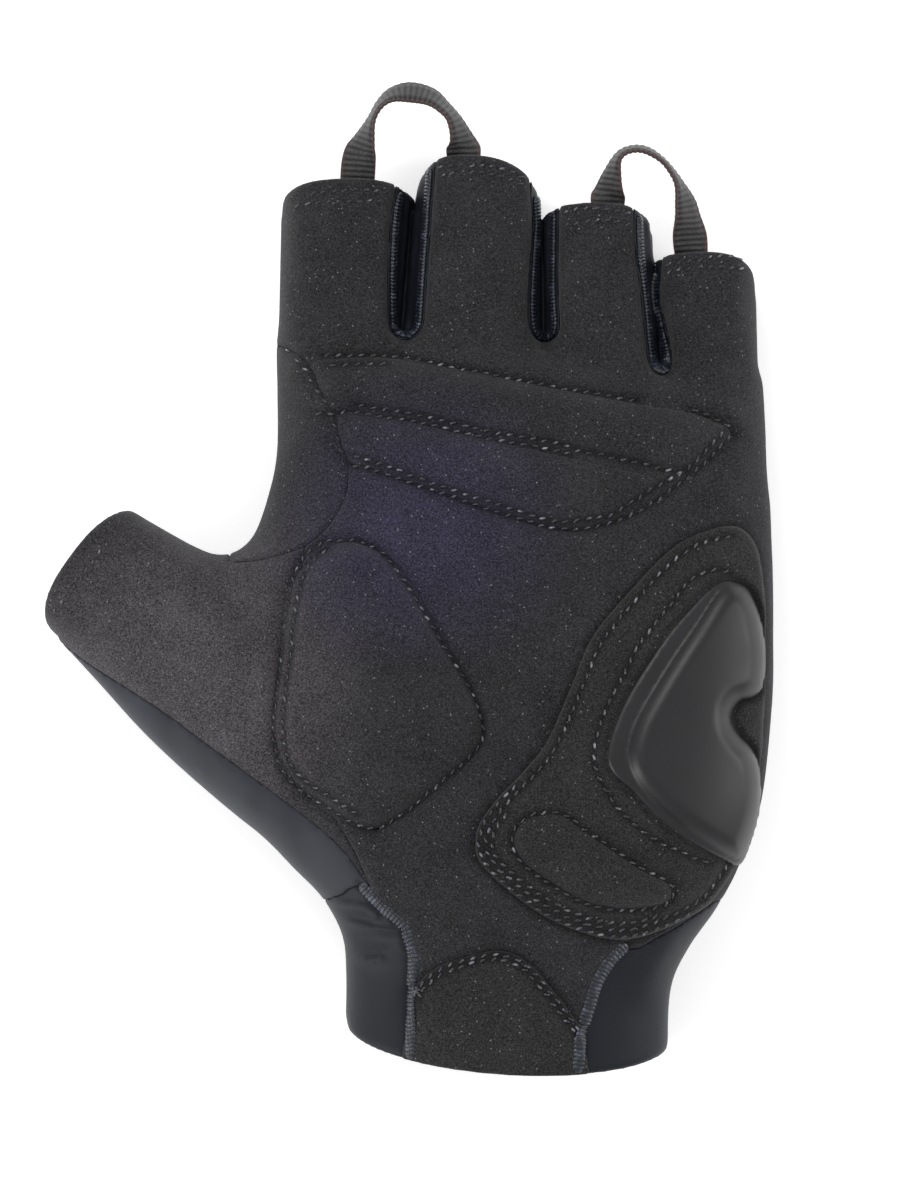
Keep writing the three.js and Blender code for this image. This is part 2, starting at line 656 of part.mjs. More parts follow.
// A ribbon from under one rim, round its bend, to under the other.
function pullTab({ fingers, feet, height, route }) {
  const [start, end] = fingers.map((name, i) => tabFoot(name, feet[i]));
  const [first, last] = [start.point, end.point];
  const seat = new THREE.Vector3(0, -TAB_SEAT, 0);
  const stations = [
    { point: first.clone().add(seat), roll: start.lean },
    { point: first.clone(), roll: start.lean },
    ...route.map(({ across, up, roll }) => ({
      point: new THREE.Vector3(
        first.x + (last.x - first.x) * across,
        first.y + height * up,
        first.z + (last.z - first.z) * across,
      ),
      roll,
    })),
    { point: last.clone(), roll: -end.lean },
    { point: last.clone().add(seat), roll: -end.lean },
  ];
  const curve = new THREE.CatmullRomCurve3(
    stations.map((station) => station.point),
    false,
    "centripetal",
  );
  const perStation = 2;
  const count = (stations.length - 1) * perStation;
  const rings = [];
  for (let i = 0; i <= count; i++) {
    const t = i / count;
    const at = Math.min(Math.floor(i / perStation), stations.length - 2);
    const within = i / perStation - at;
    const four = [-1, 0, 1, 2].map(
      (k) => stations[THREE.MathUtils.clamp(at + k, 0, stations.length - 1)].roll,
    );
    const roll = THREE.MathUtils.degToRad(blend(...four, within));
    const tangent = curve.getTangent(t);
    const inPlane = new THREE.Vector3(tangent.y, -tangent.x, 0).normalize();
    const wide = inPlane.multiplyScalar(Math.cos(roll)).add(new THREE.Vector3(0, 0, Math.sin(roll)));
    const thick = new THREE.Vector3().crossVectors(wide, tangent).normalize();
    const centre = curve.getPoint(t);
    const corner = (a, b) =>
      centre
        .clone()
        .addScaledVector(wide, (a * RIBBON_WIDTH) / 2)
        .addScaledVector(thick, (b * RIBBON_THICKNESS) / 2);
    rings.push([corner(1, -1), corner(1, 1), corner(-1, 1), corner(-1, -1)]);
  }
  return loft(rings);
}

// A named mesh from a solid.
const glove = new THREE.Group();
function addPiece(name, solid, material) {
  const { numProp, vertProperties, triVerts } = solid.getMesh();
  const positions = new THREE.InterleavedBuffer(vertProperties, numProp);
  const geometry = new THREE.BufferGeometry();
  geometry.setAttribute("position", new THREE.InterleavedBufferAttribute(positions, 3, 0));
  geometry.setIndex(new THREE.BufferAttribute(triVerts, 1));
  const mesh = new THREE.Mesh(geometry, material);
  mesh.name = name;
  glove.add(mesh);
}

// The panels of the shell
addPiece("cuff_band", takePanel(cuffZone), CLOTH.stretch);
addPiece("back_panel", takePanel(backZone), CLOTH.stretch);
for (let i = 0; i + 1 < PLACED_FINGERS.length; i++) {
  const [left, right] = PLACED_FINGERS.slice(i, i + 2);
  addPiece(
    `fourchette_${left.name}_${right.name}`,
    takePanel((grow) => fourchetteZone(left, right, grow)),
    CLOTH.stretch,
  );
}
addPiece("index_gusset", takePanel(gussetZone), CLOTH.suede);
addPiece("thumb_panel", takePanel(thumbZone), CLOTH.suede);
addPiece("palm_panel", remaining, CLOTH.suede);

// The patch on the outer edge of the palm, with its window for the moulded pad
const patchOutline = outline("palmPatch", 34);
const gelOutline = outline("gelPad", 34);
const patch = overlay(patchOutline, SEAM_GAP, SEAM_GAP + PATCH_THICKNESS).subtract(
  prism(gelOutline, SEAM_GAP),
);
addPiece("palm_patch", patch, CLOTH.suede);
addPiece("gel_pad", pad(gelOutline, SEAM_GAP, GEL_THICKNESS), CLOTH.gel);
const overPatch = SEAM_GAP + PATCH_THICKNESS + SEAM_GAP;
addPiece("heel_pad", pad(outline("heelPad", 18), overPatch, HEEL_PAD_THICKNESS), CLOTH.suede);

// The other pads
addPiece("thumb_pad", pad(outline("thumbPad", 22), SEAM_GAP, PAD_THICKNESS), CLOTH.suede);
addPiece("knuckle_pad_upper", pad(outline("knucklePadUpper", 26), SEAM_GAP, PAD_THICKNESS), CLOTH.suede);
addPiece("knuckle_pad_lower", pad(outline("knucklePadLower", 22), SEAM_GAP, PAD_THICKNESS), CLOTH.suede);

// The cuff seams' bindings and the patch at the heel of the hand, all trimmed at the hem
const hem = hemTrim();
const bindings = { cuff_binding_left: "cuffLeft", cuff_binding_right: "cuffRight" };
let heelPatch = overlay(outline("heelPatch", 20), SEAM_GAP, SEAM_GAP + HEEL_PATCH_THICKNESS).intersect(hem);
for (const [name, line] of Object.entries(bindings)) {
  const points = strip(seam(line), BINDING_WIDTH);
  const binding = overlay(points, SEAM_GAP, SEAM_GAP + BINDING_THICKNESS);
  addPiece(name, binding.subtract(prism(patchOutline, SEAM_GAP)).intersect(hem), CLOTH.thread);
  heelPatch = heelPatch.subtract(prism(points, SEAM_GAP));
}
const palmSide = tongueZone(0);
addPiece("heel_patch", heelPatch.intersect(palmSide), CLOTH.suede);

for (const tab of TABS) addPiece(tab.name, pullTab(tab), CLOTH.ribbon);

// The origin is on the floor, under the middle of the glove.
const bounds = new THREE.Box3().setFromObject(glove);
const middle = bounds.getCenter(new THREE.Vector3());
glove.position.set(-middle.x, -middle.y, -bounds.min.z);

export default glove;
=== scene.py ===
import math

import bpy
import numpy as np
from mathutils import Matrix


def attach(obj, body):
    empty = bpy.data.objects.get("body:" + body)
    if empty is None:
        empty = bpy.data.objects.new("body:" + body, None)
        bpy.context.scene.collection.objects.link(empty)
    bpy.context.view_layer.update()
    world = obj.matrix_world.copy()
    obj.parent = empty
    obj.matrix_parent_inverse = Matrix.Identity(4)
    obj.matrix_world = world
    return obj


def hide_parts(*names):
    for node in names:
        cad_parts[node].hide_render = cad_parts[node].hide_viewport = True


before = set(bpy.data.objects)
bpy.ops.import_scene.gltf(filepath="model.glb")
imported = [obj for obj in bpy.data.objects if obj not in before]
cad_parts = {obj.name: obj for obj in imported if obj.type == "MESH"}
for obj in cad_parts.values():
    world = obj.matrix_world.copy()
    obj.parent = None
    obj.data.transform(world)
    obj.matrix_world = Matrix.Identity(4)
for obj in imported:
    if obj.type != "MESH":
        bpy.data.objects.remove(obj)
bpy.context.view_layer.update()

import openvdb
from mathutils import Vector

MM = 0.001

# Sizes of the glove, as in the part
HAND_LENGTH = 129.5  # middle of the wrist hem to the line of the crotches
PALM_WIDTH = 93.5
PALM_DEPTH = 35.0  # floor to the crown of the palm
HAND_AXIS = (20.2, -88.13)  # where the hand's axis meets the wrist hem
FINGER_GAP = 0.4
FINGER_LIFT = 3.0  # a rim's underside off the floor
THUMB_REACH = 66.6
THUMB_WIDTH = 27.2
THUMB_DEPTH = 20.0
THUMB_HEADING = 137.0
THUMB_LIFT = 7.0
THUMB_CAP = 7.0
HEM_DIP = 7.6
HEM_LOWEST = -0.026
WALL = 1.6  # cloth with its lining
SQUARENESS = 2.4  # of a tube's squared oval
BELLY = 0.84  # height of a tube's middle as a share of its half depth
PHOTO_SCALE = 0.185  # millimetres to a pixel of the photograph, which looks straight down
PHOTO_CENTRE = (409.5, 577.0)  # the pixel at the middle of the part
PHOTO_SIZE = (913, 1200)

# width and depth at the rim, root is the width at the crotch as a share of it, reach runs from the line
# of the crotches to the rim's crown, peak is where the crown lies, left and right how far the corners fall
FINGERS = {
    "index": dict(width=24.6, root=0.92, depth=20.0, reach=28.4, peak=0.0, left=6.2, right=6.0),
    "middle": dict(width=22.9, root=1.13, depth=20.5, reach=35.6, peak=-0.26, left=9.8, right=12.4),
    "ring": dict(width=20.1, root=1.06, depth=19.5, reach=29.5, peak=0.0, left=4.0, right=6.3),
    "little": dict(width=18.9, root=0.95, depth=18.0, reach=22.8, peak=0.0, left=3.1, right=7.4),
}

# Sections of the hand: along (share of length), left, right (shares of width), crown (share of depth), tilt
HAND_SECTIONS = [
    (-0.1, -0.344, 0.296, 0.86, -0.06),
    (0.0, -0.344, 0.296, 0.86, -0.06),
    (0.101, -0.342, 0.301, 0.88, -0.05),
    (0.16, -0.35, 0.336, 0.93, -0.04),
    (0.217, -0.39, 0.392, 0.98, -0.03),
    (0.276, -0.45, 0.437, 1.0, -0.02),
    (0.36, -0.482, 0.48, 1.0, 0.0),
    (0.503, -0.49, 0.502, 0.97, 0.0),
    (0.6, -0.54, 0.504, 0.94, 0.0),
    (0.66, -0.59, 0.504, 0.92, 0.0),
    (0.7, -0.58, 0.503, 0.91, 0.0),
    (0.735, -0.526, 0.501, 0.89, -0.01),
    (0.789, -0.495, 0.499, 0.86, -0.03),
    (0.84, -0.479, 0.493, 0.83, -0.05),
    (0.917, -0.473, 0.488, 0.77, -0.09),
    (0.967, -0.462, 0.482, 0.69, -0.12),
    (1.0, -0.44, 0.472, 0.57, -0.12),
]
CROTCH_TILT = -0.12

# Sections of the thumb: along, across (shares of its reach), width, depth, lift, heading of the section
THUMB_SECTIONS = [
    (0.0, -0.02, 1.24, 1.2, 0.3, 86),
    (0.209, 0.0, 1.3, 1.45, 0.15, 83),
    (0.4, 0.0, 1.28, 1.42, 0.15, 74),
    (0.584, -0.014, 1.29, 1.24, 0.4, 66),
    (0.758, -0.007, 1.12, 1.1, 0.7, 58),
    (0.929, 0.004, 1.0, 1.0, 1.0, 53),
    (1.06, 0.008, 0.98, 1.0, 1.1, 52),
]
THUMB_ROOT = (-0.358, 0.364)

# Height of the seam between palm side and back, as a share of the palm's depth
SIDE_SEAM = [(-0.3, 0.38), (0.25, 0.4), (0.6, 0.38), (0.9, 0.29), (1.0, 0.25), (1.1, 0.25), (1.5, 0.28)]

# Outlines in the plan view, in shares of the palm's width and the hand's length
OUTLINES = {
    "thumb_pad": [
        (-0.344, 0.731), (-0.235, 0.694), (-0.162, 0.61), (-0.101, 0.531), (-0.073, 0.463),
        (-0.113, 0.406), (-0.23, 0.34), (-0.311, 0.324), (-0.414, 0.367), (-0.481, 0.453),
        (-0.471, 0.567), (-0.449, 0.671),
    ],
    "knuckle_pad_upper": [
        (-0.395, 0.99), (-0.245, 0.993), (-0.117, 0.977), (0.061, 0.951), (0.218, 0.929),
        (0.34, 0.914), (0.417, 0.889), (0.406, 0.86), (0.338, 0.836), (0.269, 0.842),
        (0.164, 0.858), (0.036, 0.879), (-0.142, 0.906), (-0.245, 0.923), (-0.37, 0.933),
        (-0.403, 0.969),
    ],
    "knuckle_pad_lower": [
        (-0.354, 0.912), (-0.245, 0.906), (-0.142, 0.889), (0.036, 0.86), (0.164, 0.839),
        (0.258, 0.823), (0.265, 0.804), (0.198, 0.766), (0.144, 0.749), (0.081, 0.747),
        (-0.02, 0.763), (-0.142, 0.794), (-0.251, 0.821), (-0.33, 0.84),
    ],
    "palm_patch": [
        (0.425, 0.753), (0.36, 0.744), (0.299, 0.72), (0.222, 0.664), (0.144, 0.596),
        (0.105, 0.531), (0.055, 0.449), (0.01, 0.407), (-0.046, 0.364), (-0.081, 0.327),
        (-0.085, 0.289), (-0.061, 0.263), (-0.012, 0.231), (0.049, 0.2), (0.111, 0.18),
        (0.176, 0.167), (0.243, 0.17), (0.332, 0.196), (0.39, 0.226), (0.446, 0.297),
        (0.478, 0.417), (0.489, 0.589), (0.482, 0.681), (0.465, 0.73),
    ],
    "heel_pad": [
        (0.038, 0.344), (0.083, 0.344), (0.121, 0.324), (0.188, 0.291), (0.243, 0.264),
        (0.287, 0.249), (0.301, 0.23), (0.277, 0.216), (0.204, 0.211), (0.133, 0.22),
        (0.065, 0.247), (0.01, 0.276), (-0.012, 0.307), (0.004, 0.333),
    ],
    "heel_patch": [
        (-0.212, 0.08), (-0.2, 0.103), (-0.156, 0.129), (-0.063, 0.15), (-0.01, 0.146),
        (0.028, 0.127), (0.065, 0.096), (0.105, 0.058), (0.128, 0.02), (0.118, -0.12),
        (-0.216, -0.12),
    ],
}

# Seam lines in the plan view, in the same shares
SEAMS = {
    "cuff_left": [
        (-0.311, 0.246), (-0.275, 0.216), (-0.231, 0.189), (-0.216, 0.166), (-0.208, 0.134),
        (-0.212, 0.089), (-0.212, 0.036), (-0.216, -0.12),
    ],
    "cuff_right": [
        (0.212, 0.16), (0.182, 0.139), (0.154, 0.107), (0.139, 0.073), (0.123, 0.036),
        (0.117, 0.0), (0.11, -0.12),
    ],
    "cuff_top": [
        (-0.433, 0.206), (-0.354, 0.227), (-0.299, 0.24), (-0.1, 0.2), (0.184, 0.153),
        (0.279, 0.171), (0.39, 0.22),
    ],
    "thumb_back": [
        (-0.93, 0.6), (-0.843, 0.554), (-0.716, 0.496), (-0.609, 0.44), (-0.463, 0.363),
        (-0.354, 0.299), (-0.291, 0.237),
    ],
    "gusset": [
        (-0.49, 1.015), (-0.441, 1.0), (-0.41, 0.977), (-0.382, 0.933), (-0.354, 0.889),
        (-0.338, 0.844), (-0.34, 0.8), (-0.372, 0.756), (-0.423, 0.724), (-0.5, 0.706),
        (-0.572, 0.7),
    ],
    "thumb_root": [
        (-0.423, 0.724), (-0.432, 0.66), (-0.452, 0.567), (-0.458, 0.453), (-0.4, 0.378),
        (-0.33, 0.3), (-0.291, 0.237),
    ],
}

# The gel pad's outline and the foot of its dome, in pixels of the photograph. The flange between them is
# broad on the left and gone along the outer edge of the hand.
GEL_OUTLINE = [
    (722, 579), (738, 582), (750, 592), (760, 618), (765, 650), (764, 676), (760, 691), (750, 699),
    (739, 702), (732, 711), (732, 722), (740, 735), (751, 747), (758, 765), (761, 790), (759, 814),
    (752, 840), (744, 860), (734, 865), (720, 859), (684, 839), (655, 818), (631, 792), (612, 775),
    (604, 759), (605, 743), (612, 721), (624, 695), (643, 664), (666, 631), (688, 606), (706, 588),
]
DOME_FOOT = [
    (728, 584), (740, 587), (750, 597), (758, 620), (763, 650), (762, 674), (758, 688), (748, 696),
    (736, 700), (729, 710), (729, 723), (738, 738), (749, 750), (756, 767), (759, 790), (757, 812),
    (750, 837), (742, 855), (732, 857), (706, 842), (676, 822), (650, 799), (632, 776), (626, 756),
    (628, 738), (636, 716), (652, 688), (672, 656), (694, 624), (714, 594),
]

# Edges of the suede along the slots between the fingers, in pixels of the photograph
SLOT_EDGES = {
    "index_middle": [
        (397, 160), (396, 186), (391, 215), (388, 260), (388, 322), (394, 336), (405, 341), (417, 337),
        (424, 324), (426, 300), (432, 215), (436, 166), (438, 140),
    ],
    "middle_ring": [
        (529, 160), (530, 188), (532, 227), (528, 285), (528, 322), (534, 337), (545, 342), (556, 337),
        (560, 324), (558, 285), (559, 207), (559, 180),
    ],
    "ring_little": [
        (632, 190), (633, 215), (635, 256), (640, 295), (645, 344), (649, 366), (659, 376), (669, 371),
        (672, 356), (666, 324), (660, 300), (660, 285), (662, 258), (663, 235),
    ],
}


def on_hand(rows):
    """Plan points in millimetres from shares of the palm's width and the hand's length."""
    return np.array([(u * PALM_WIDTH + HAND_AXIS[0], v * HAND_LENGTH + HAND_AXIS[1]) for u, v in rows])


def on_photo(rows):
    """Plan points in millimetres from pixels of the photograph."""
    across, down = PHOTO_CENTRE
    return np.array([((x - across) * PHOTO_SCALE, (down - y) * PHOTO_SCALE) for x, y in rows])


def eased(rows, steps, closed=False):
    """A Catmull-Rom curve through rows of numbers, with so many steps to a span."""
    rows = np.array(rows, dtype=float)
    count = len(rows)
    spans = count if closed else count - 1
    found = []
    for i in range(spans):
        picks = [i - 1, i, i + 1, i + 2]
        if closed:
            a, b, c, d = (rows[k % count] for k in picks)
        else:
            a, b, c, d = (rows[min(max(k, 0), count - 1)] for k in picks)
        t = (np.arange(steps) / steps)[:, None]
        rise, fall = (c - a) / 2, (d - b) / 2
        bend = (2 * b - 2 * c + rise + fall) * t + (3 * c - 3 * b - 2 * rise - fall)
        found.append(bend * t * t + rise * t + b)
    if not closed:
        found.append(rows[-1:])
    return np.concatenate(found)


def run_along(points):
    """How far along a line each of its points lies."""
    return np.concatenate([[0], np.cumsum(np.linalg.norm(np.diff(points, axis=0), axis=1))])


def in_steps(line, run, count):
    """A line in so many even steps, with as many columns as it has."""
    stops = np.linspace(0, run[-1], count + 1)
    return np.stack([np.interp(stops, run, column) for column in line.T], axis=1)


def evenly(line, pitch):
    """A line in even steps of about a pitch."""
    run = run_along(line[:, :2])
    return in_steps(line, run, max(int(round(run[-1] / pitch)), 1))


# The grid of distances: its step, its lowest corner and how many steps it has each way
STEP = 0.5
LOW = np.array((-72.0, -97.0, -3.0))
COUNT = (289, 389, 93)
ORIGIN = tuple(int(round(low / STEP)) for low in LOW)
X, Y, Z = (
    (LOW[k] + STEP * np.arange(COUNT[k], dtype=np.float32)).reshape([-1 if k == m else 1 for m in range(3)])
    for k in range(3)
)
PLAN_X, PLAN_Y = X[:, :, 0], Y[:, :, 0]
BAND = 16  # steps either side of a surface over which its distances are true


def step_up(value, low, high):
    """0 below low, 1 above high, with a smooth rise between."""
    t = np.clip((value - low) / (high - low), 0, 1)
    return t * t * (3 - 2 * t)


def soft_min(a, b, reach):
    """The lesser of two fields, rounded where they are closer than reach."""
    near = np.maximum(reach - np.abs(a - b), 0) / reach
    return np.minimum(a, b) - near * near * (reach / 4)


def soft_max(a, b, reach):
    """The greater of two fields, rounded in the same way."""
    return -soft_min(-a, -b, reach)


def bell(away, half_width):
    """One in the middle, and falling off to nothing past a half width or two."""
    return np.exp(-((away / half_width) ** 2))


def blur(field, times):
    """A field evened out with its neighbours, so many times."""
    for _ in range(times):
        for axis in range(field.ndim):
            beside = (np.roll(field, 1, axis) + np.roll(field, -1, axis)) / 2
            field = (field + beside) / 2
    return field


def from_line(line, closed=False):
    """Distance in the plan view from every column of the grid to a line."""
    ends = np.roll(line, -1, axis=0) if closed else line[1:]
    best = np.full((COUNT[0], COUNT[1]), 1e6, dtype=np.float32)
    for (ax, ay), (bx, by) in zip(line, ends):
        along = max((bx - ax) ** 2 + (by - ay) ** 2, 1e-9)
        t = np.clip(((PLAN_X - ax) * (bx - ax) + (PLAN_Y - ay) * (by - ay)) / along, 0, 1)
        best = np.minimum(best, (PLAN_X - ax - t * (bx - ax)) ** 2 + (PLAN_Y - ay - t * (by - ay)) ** 2)
    return np.sqrt(best)


def from_outline(line):
    """The same for a closed outline, less than zero inside it."""
    inside = np.zeros((COUNT[0], COUNT[1]), dtype=bool)
    for (ax, ay), (bx, by) in zip(line, np.roll(line, -1, axis=0)):
        if ay == by:
            continue
        crosses = (ay > PLAN_Y) != (by > PLAN_Y)
        inside ^= crosses & (PLAN_X < ax + (PLAN_Y - ay) * (bx - ax) / (by - ay))
    away = from_line(line, closed=True)
    return np.where(inside, -away, away)


def tube(rings):
    """The field of distances of a closed tube through rings of points."""
    count, sides = len(rings), len(rings[0])
    points = np.concatenate([np.concatenate(rings), [rings[0].mean(axis=0), rings[-1].mean(axis=0)]])
    here = np.arange(count * sides).reshape(count, sides)
    beside = np.roll(here, -1, axis=1)
    quads = np.stack([here[:-1], beside[:-1], beside[1:], here[1:]], axis=-1).reshape(-1, 4)
    first, last = count * sides, count * sides + 1
    start = np.stack([beside[0], here[0], np.full(sides, first)], axis=-1)
    end = np.stack([here[-1], beside[-1], np.full(sides, last)], axis=-1)
    grid = openvdb.FloatGrid.createLevelSetFromPolygons(
        points.astype(np.float32),
        triangles=np.concatenate([start, end]).astype(np.uint32),
        quads=quads.astype(np.uint32),
        transform=openvdb.createLinearTransform(voxelSize=STEP),
        halfWidth=float(BAND),
    )
    field = np.zeros(COUNT, dtype=np.float32)
    grid.copyToArray(field, ijk=ORIGIN)
    return field


def oval(x, y, z, turn, half_width, half_depth, sides=300):
    """One ring of a cloth tube: a squared oval."""
    angle = np.linspace(0, 2 * np.pi, sides, endpoint=False)
    across = half_width * np.sign(np.cos(angle)) * np.abs(np.cos(angle)) ** (2 / SQUARENESS)
    up = half_depth * np.sign(np.sin(angle)) * np.abs(np.sin(angle)) ** (2 / SQUARENESS)
    return np.stack([x + across * math.cos(turn), y + across * math.sin(turn), z + up], axis=1)


def hand_rings():
    """The hand's tube, from behind the wrist hem to the crotches."""
    rings = []
    for along, left, right, crown, tilt in eased(HAND_SECTIONS, 10):
        x = (left + right) / 2 * PALM_WIDTH
        turn = math.atan(tilt)
        half_depth = crown * PALM_DEPTH / (1 + BELLY)
        half_width = (right - left) / 2 * PALM_WIDTH / math.cos(turn)
        y = along * HAND_LENGTH + tilt * x
        middle = (x + HAND_AXIS[0], y + HAND_AXIS[1], BELLY * half_depth)
        rings.append(oval(*middle, turn, half_width, half_depth))
    return rings


def thumb_point(along, across):
    """A plan point from shares of the thumb's reach, along its axis and to its left."""
    heading = math.radians(THUMB_HEADING)
    out, side = along * THUMB_REACH, across * THUMB_REACH
    return (
        HAND_AXIS[0] + THUMB_ROOT[0] * PALM_WIDTH + out * math.cos(heading) - side * math.sin(heading),
        HAND_AXIS[1] + THUMB_ROOT[1] * HAND_LENGTH + out * math.sin(heading) + side * math.cos(heading),
    )


def thumb_rings():
    """The thumb's tube, from inside the hand to past its rim."""
    rings = []
    for along, across, width, depth, lift, turn in eased(THUMB_SECTIONS, 16):
        half_depth = depth * THUMB_DEPTH / (1 + BELLY)
        middle = lift * THUMB_LIFT + BELLY * half_depth
        x, y = thumb_point(along, across)
        rings.append(oval(x, y, middle, math.radians(turn), width * THUMB_WIDTH / 2, half_depth))
    return rings


def place_fingers():
    """Places the fingers side by side at their rims and at the crotches."""
    rim_span = sum(f["width"] for f in FINGERS.values()) + 3 * FINGER_GAP
    root_span = sum(f["width"] * f["root"] for f in FINGERS.values()) + 3 * FINGER_GAP
    rim_edge = HAND_AXIS[0] - rim_span / 2
    root_edge = HAND_AXIS[0] - root_span / 2
    for finger in FINGERS.values():
        finger["root_width"] = finger["width"] * finger["root"]
        finger["rim_x"] = rim_edge + finger["width"] / 2
        finger["root_x"] = root_edge + finger["root_width"] / 2
        finger["rim_y"] = crotch_y(finger["rim_x"]) + finger["reach"]
        rim_edge += finger["width"] + FINGER_GAP
        root_edge += finger["root_width"] + FINGER_GAP


def crotch_y(x):
    """Where the line of the crotches lies at x."""
    return HAND_AXIS[1] + HAND_LENGTH + CROTCH_TILT * (x - HAND_AXIS[0])


# A finger's tube starts inside the palm, where it is tucked in on both sides, and runs on past its rim.
# It is deeper at its root than at its rim.
ROOT_START = 2.0  # below the line of the crotches
ROOT_RUN = 18.0
ROOT_TUCK = 3.4
ROOT_DEPTH = 1.12
PAST_RIM = 6.0


def finger_section(finger, y):
    """Middle across, middle height, half width and half depth of a finger at y."""
    crotch = crotch_y(finger["root_x"])
    share = (y - crotch) / (finger["rim_y"] - crotch)
    tuck = ROOT_TUCK * max((crotch - ROOT_START - y) / ROOT_RUN, 0)
    root = np.array((finger["root_x"], finger["root_width"], finger["depth"] * ROOT_DEPTH))
    end = np.array((finger["rim_x"], finger["width"], finger["depth"]))
    x, width, depth = root + (end - root) * share
    half_depth = depth / (1 + BELLY)
    middle = FINGER_LIFT * max(share, 0) + tuck / 2 + BELLY * half_depth
    return x, middle, width / 2 - tuck, half_depth - tuck / 2


def finger_rings(finger):
    """A finger's tube."""
    root = crotch_y(finger["root_x"]) - ROOT_START
    inside_palm = np.linspace(root - ROOT_RUN, root, 12)
    outside = np.linspace(root, finger["rim_y"] + PAST_RIM, 24)
    rings = []
    for y in np.concatenate([inside_palm, outside[1:]]):
        x, middle, half_width, half_depth = finger_section(finger, y)
        rings.append(oval(x, y, middle, 0, half_width, half_depth))
    return rings


RIM_SQUARENESS = 2.5  # of the curve of a finger's rim, seen from above
RIM_MARGIN = 0.4
BEHIND = 60.0  # how far back its outline runs, past all that a rim is measured for


def behind_rim(half_width, left, right, squareness, turn, x, y, peak=0.0):
    """The outline of everything behind a rounded rim, which faces +Y before it is turned."""
    crown = peak * half_width
    edge = half_width + RIM_MARGIN
    points = [(2 * half_width, -BEHIND), (2 * half_width, -right)]
    for i in range(25):
        t = math.cos(math.pi * i / 24)
        fall = 1 - (1 - abs(t) ** squareness) ** (1 / squareness)
        reach = edge - crown if t > 0 else edge + crown
        points.append((crown + t * reach, -fall * (right if t > 0 else left)))
    points += [(-2 * half_width, -left), (-2 * half_width, -BEHIND)]
    c, s = math.cos(turn), math.sin(turn)
    return np.array([(x + c * px - s * py, y + s * px + c * py) for px, py in points])


place_fingers()
names = list(FINGERS)


def between(left, right):
    """The line between two neighbouring fingers, from the crotches past their rims."""
    a, b = FINGERS[left], FINGERS[right]
    root_x = (a["root_x"] + a["root_width"] / 2 + b["root_x"] - b["root_width"] / 2) / 2
    rim_x = (a["rim_x"] + a["width"] / 2 + b["rim_x"] - b["width"] / 2) / 2
    rim_y = (a["rim_y"] + b["rim_y"]) / 2
    root_y = crotch_y(root_x)
    return np.array([(root_x, root_y), (rim_x, rim_y), (2 * rim_x - root_x, 2 * rim_y - root_y)])


# The filled form: how softly the thumb and the fingers run into the hand, and the edge along the floor
THUMB_BLEND = 5.0
FINGER_BLEND = 4.0
FLOOR_ROUNDING = 1.2
palm = soft_min(tube(hand_rings()), tube(thumb_rings()), THUMB_BLEND)
form = palm
for name in names:
    form = np.minimum(form, soft_min(palm, tube(finger_rings(FINGERS[name])), FINGER_BLEND))
form = soft_max(form, -Z, FLOOR_ROUNDING)
form = blur(form, 2)
del palm

# Distance past the rims and the hem in the plan view, kept no further behind them than RIM_REACH
RIM_REACH = 8.0
FINGERS_START = 12.0  # below the line of the crotches
THUMB_END_REACH = 24.0
WRIST_END = -60.0
rim = np.full((COUNT[0], COUNT[1]), -RIM_REACH, dtype=np.float32)
walls = [between(names[i], names[i + 1]) for i in range(3)]
wall_x = [np.interp(PLAN_Y, wall[:, 1], wall[:, 0]) for wall in walls]
bounds_x = [np.full_like(wall_x[0], -1e3)] + wall_x + [np.full_like(wall_x[0], 1e3)]
over_fingers = PLAN_Y > crotch_y(PLAN_X) - FINGERS_START
for i, name in enumerate(names):
    finger = FINGERS[name]
    falls = (finger["left"], finger["right"])
    middle = (finger["rim_x"], finger["rim_y"])
    outline = behind_rim(finger["width"] / 2, *falls, RIM_SQUARENESS, 0, *middle, finger["peak"])
    strip = over_fingers & (PLAN_X > bounds_x[i]) & (PLAN_X <= bounds_x[i + 1])
    rim = np.where(strip, np.maximum(from_outline(outline), -RIM_REACH), rim)
# the middle of the thumb's rim, which is turned as the last sections of the thumb are
thumb_rim = thumb_point(1, 0.004)
thumb_turn = math.radians(53)
outline = behind_rim(THUMB_WIDTH / 2, THUMB_CAP, THUMB_CAP, RIM_SQUARENESS, thumb_turn, *thumb_rim)
over_thumb = from_line(np.array([thumb_rim, thumb_point(1.3, 0.05)])) < THUMB_END_REACH
rim = np.where(over_thumb, np.maximum(from_outline(outline), -RIM_REACH), rim)
_, wrist_left, wrist_right, _, wrist_tilt = HAND_SECTIONS[1]
outline = behind_rim(
    (wrist_right - wrist_left) / 2 * PALM_WIDTH, HEM_DIP, HEM_DIP, 2, math.pi + math.atan(wrist_tilt),
    HAND_AXIS[0] + (wrist_left + wrist_right) / 2 * PALM_WIDTH, HAND_AXIS[1] + HEM_LOWEST * HAND_LENGTH,
)
rim = np.where(PLAN_Y < WRIST_END, np.maximum(from_outline(outline), -RIM_REACH), rim)

# Plan distances of outlines and seams
outlines = {name: eased(on_hand(rows), 6, closed=True) for name, rows in OUTLINES.items()}
outlines["gel_pad"] = eased(on_photo(GEL_OUTLINE), 6, closed=True)
seams = {name: eased(on_hand(rows), 6) for name, rows in SEAMS.items()}
slots = {name: eased(on_photo(rows), 5) for name, rows in SLOT_EDGES.items()}
inside = {name: from_outline(line) for name, line in outlines.items()}
slot_zone = {name: from_outline(line) for name, line in slots.items()}

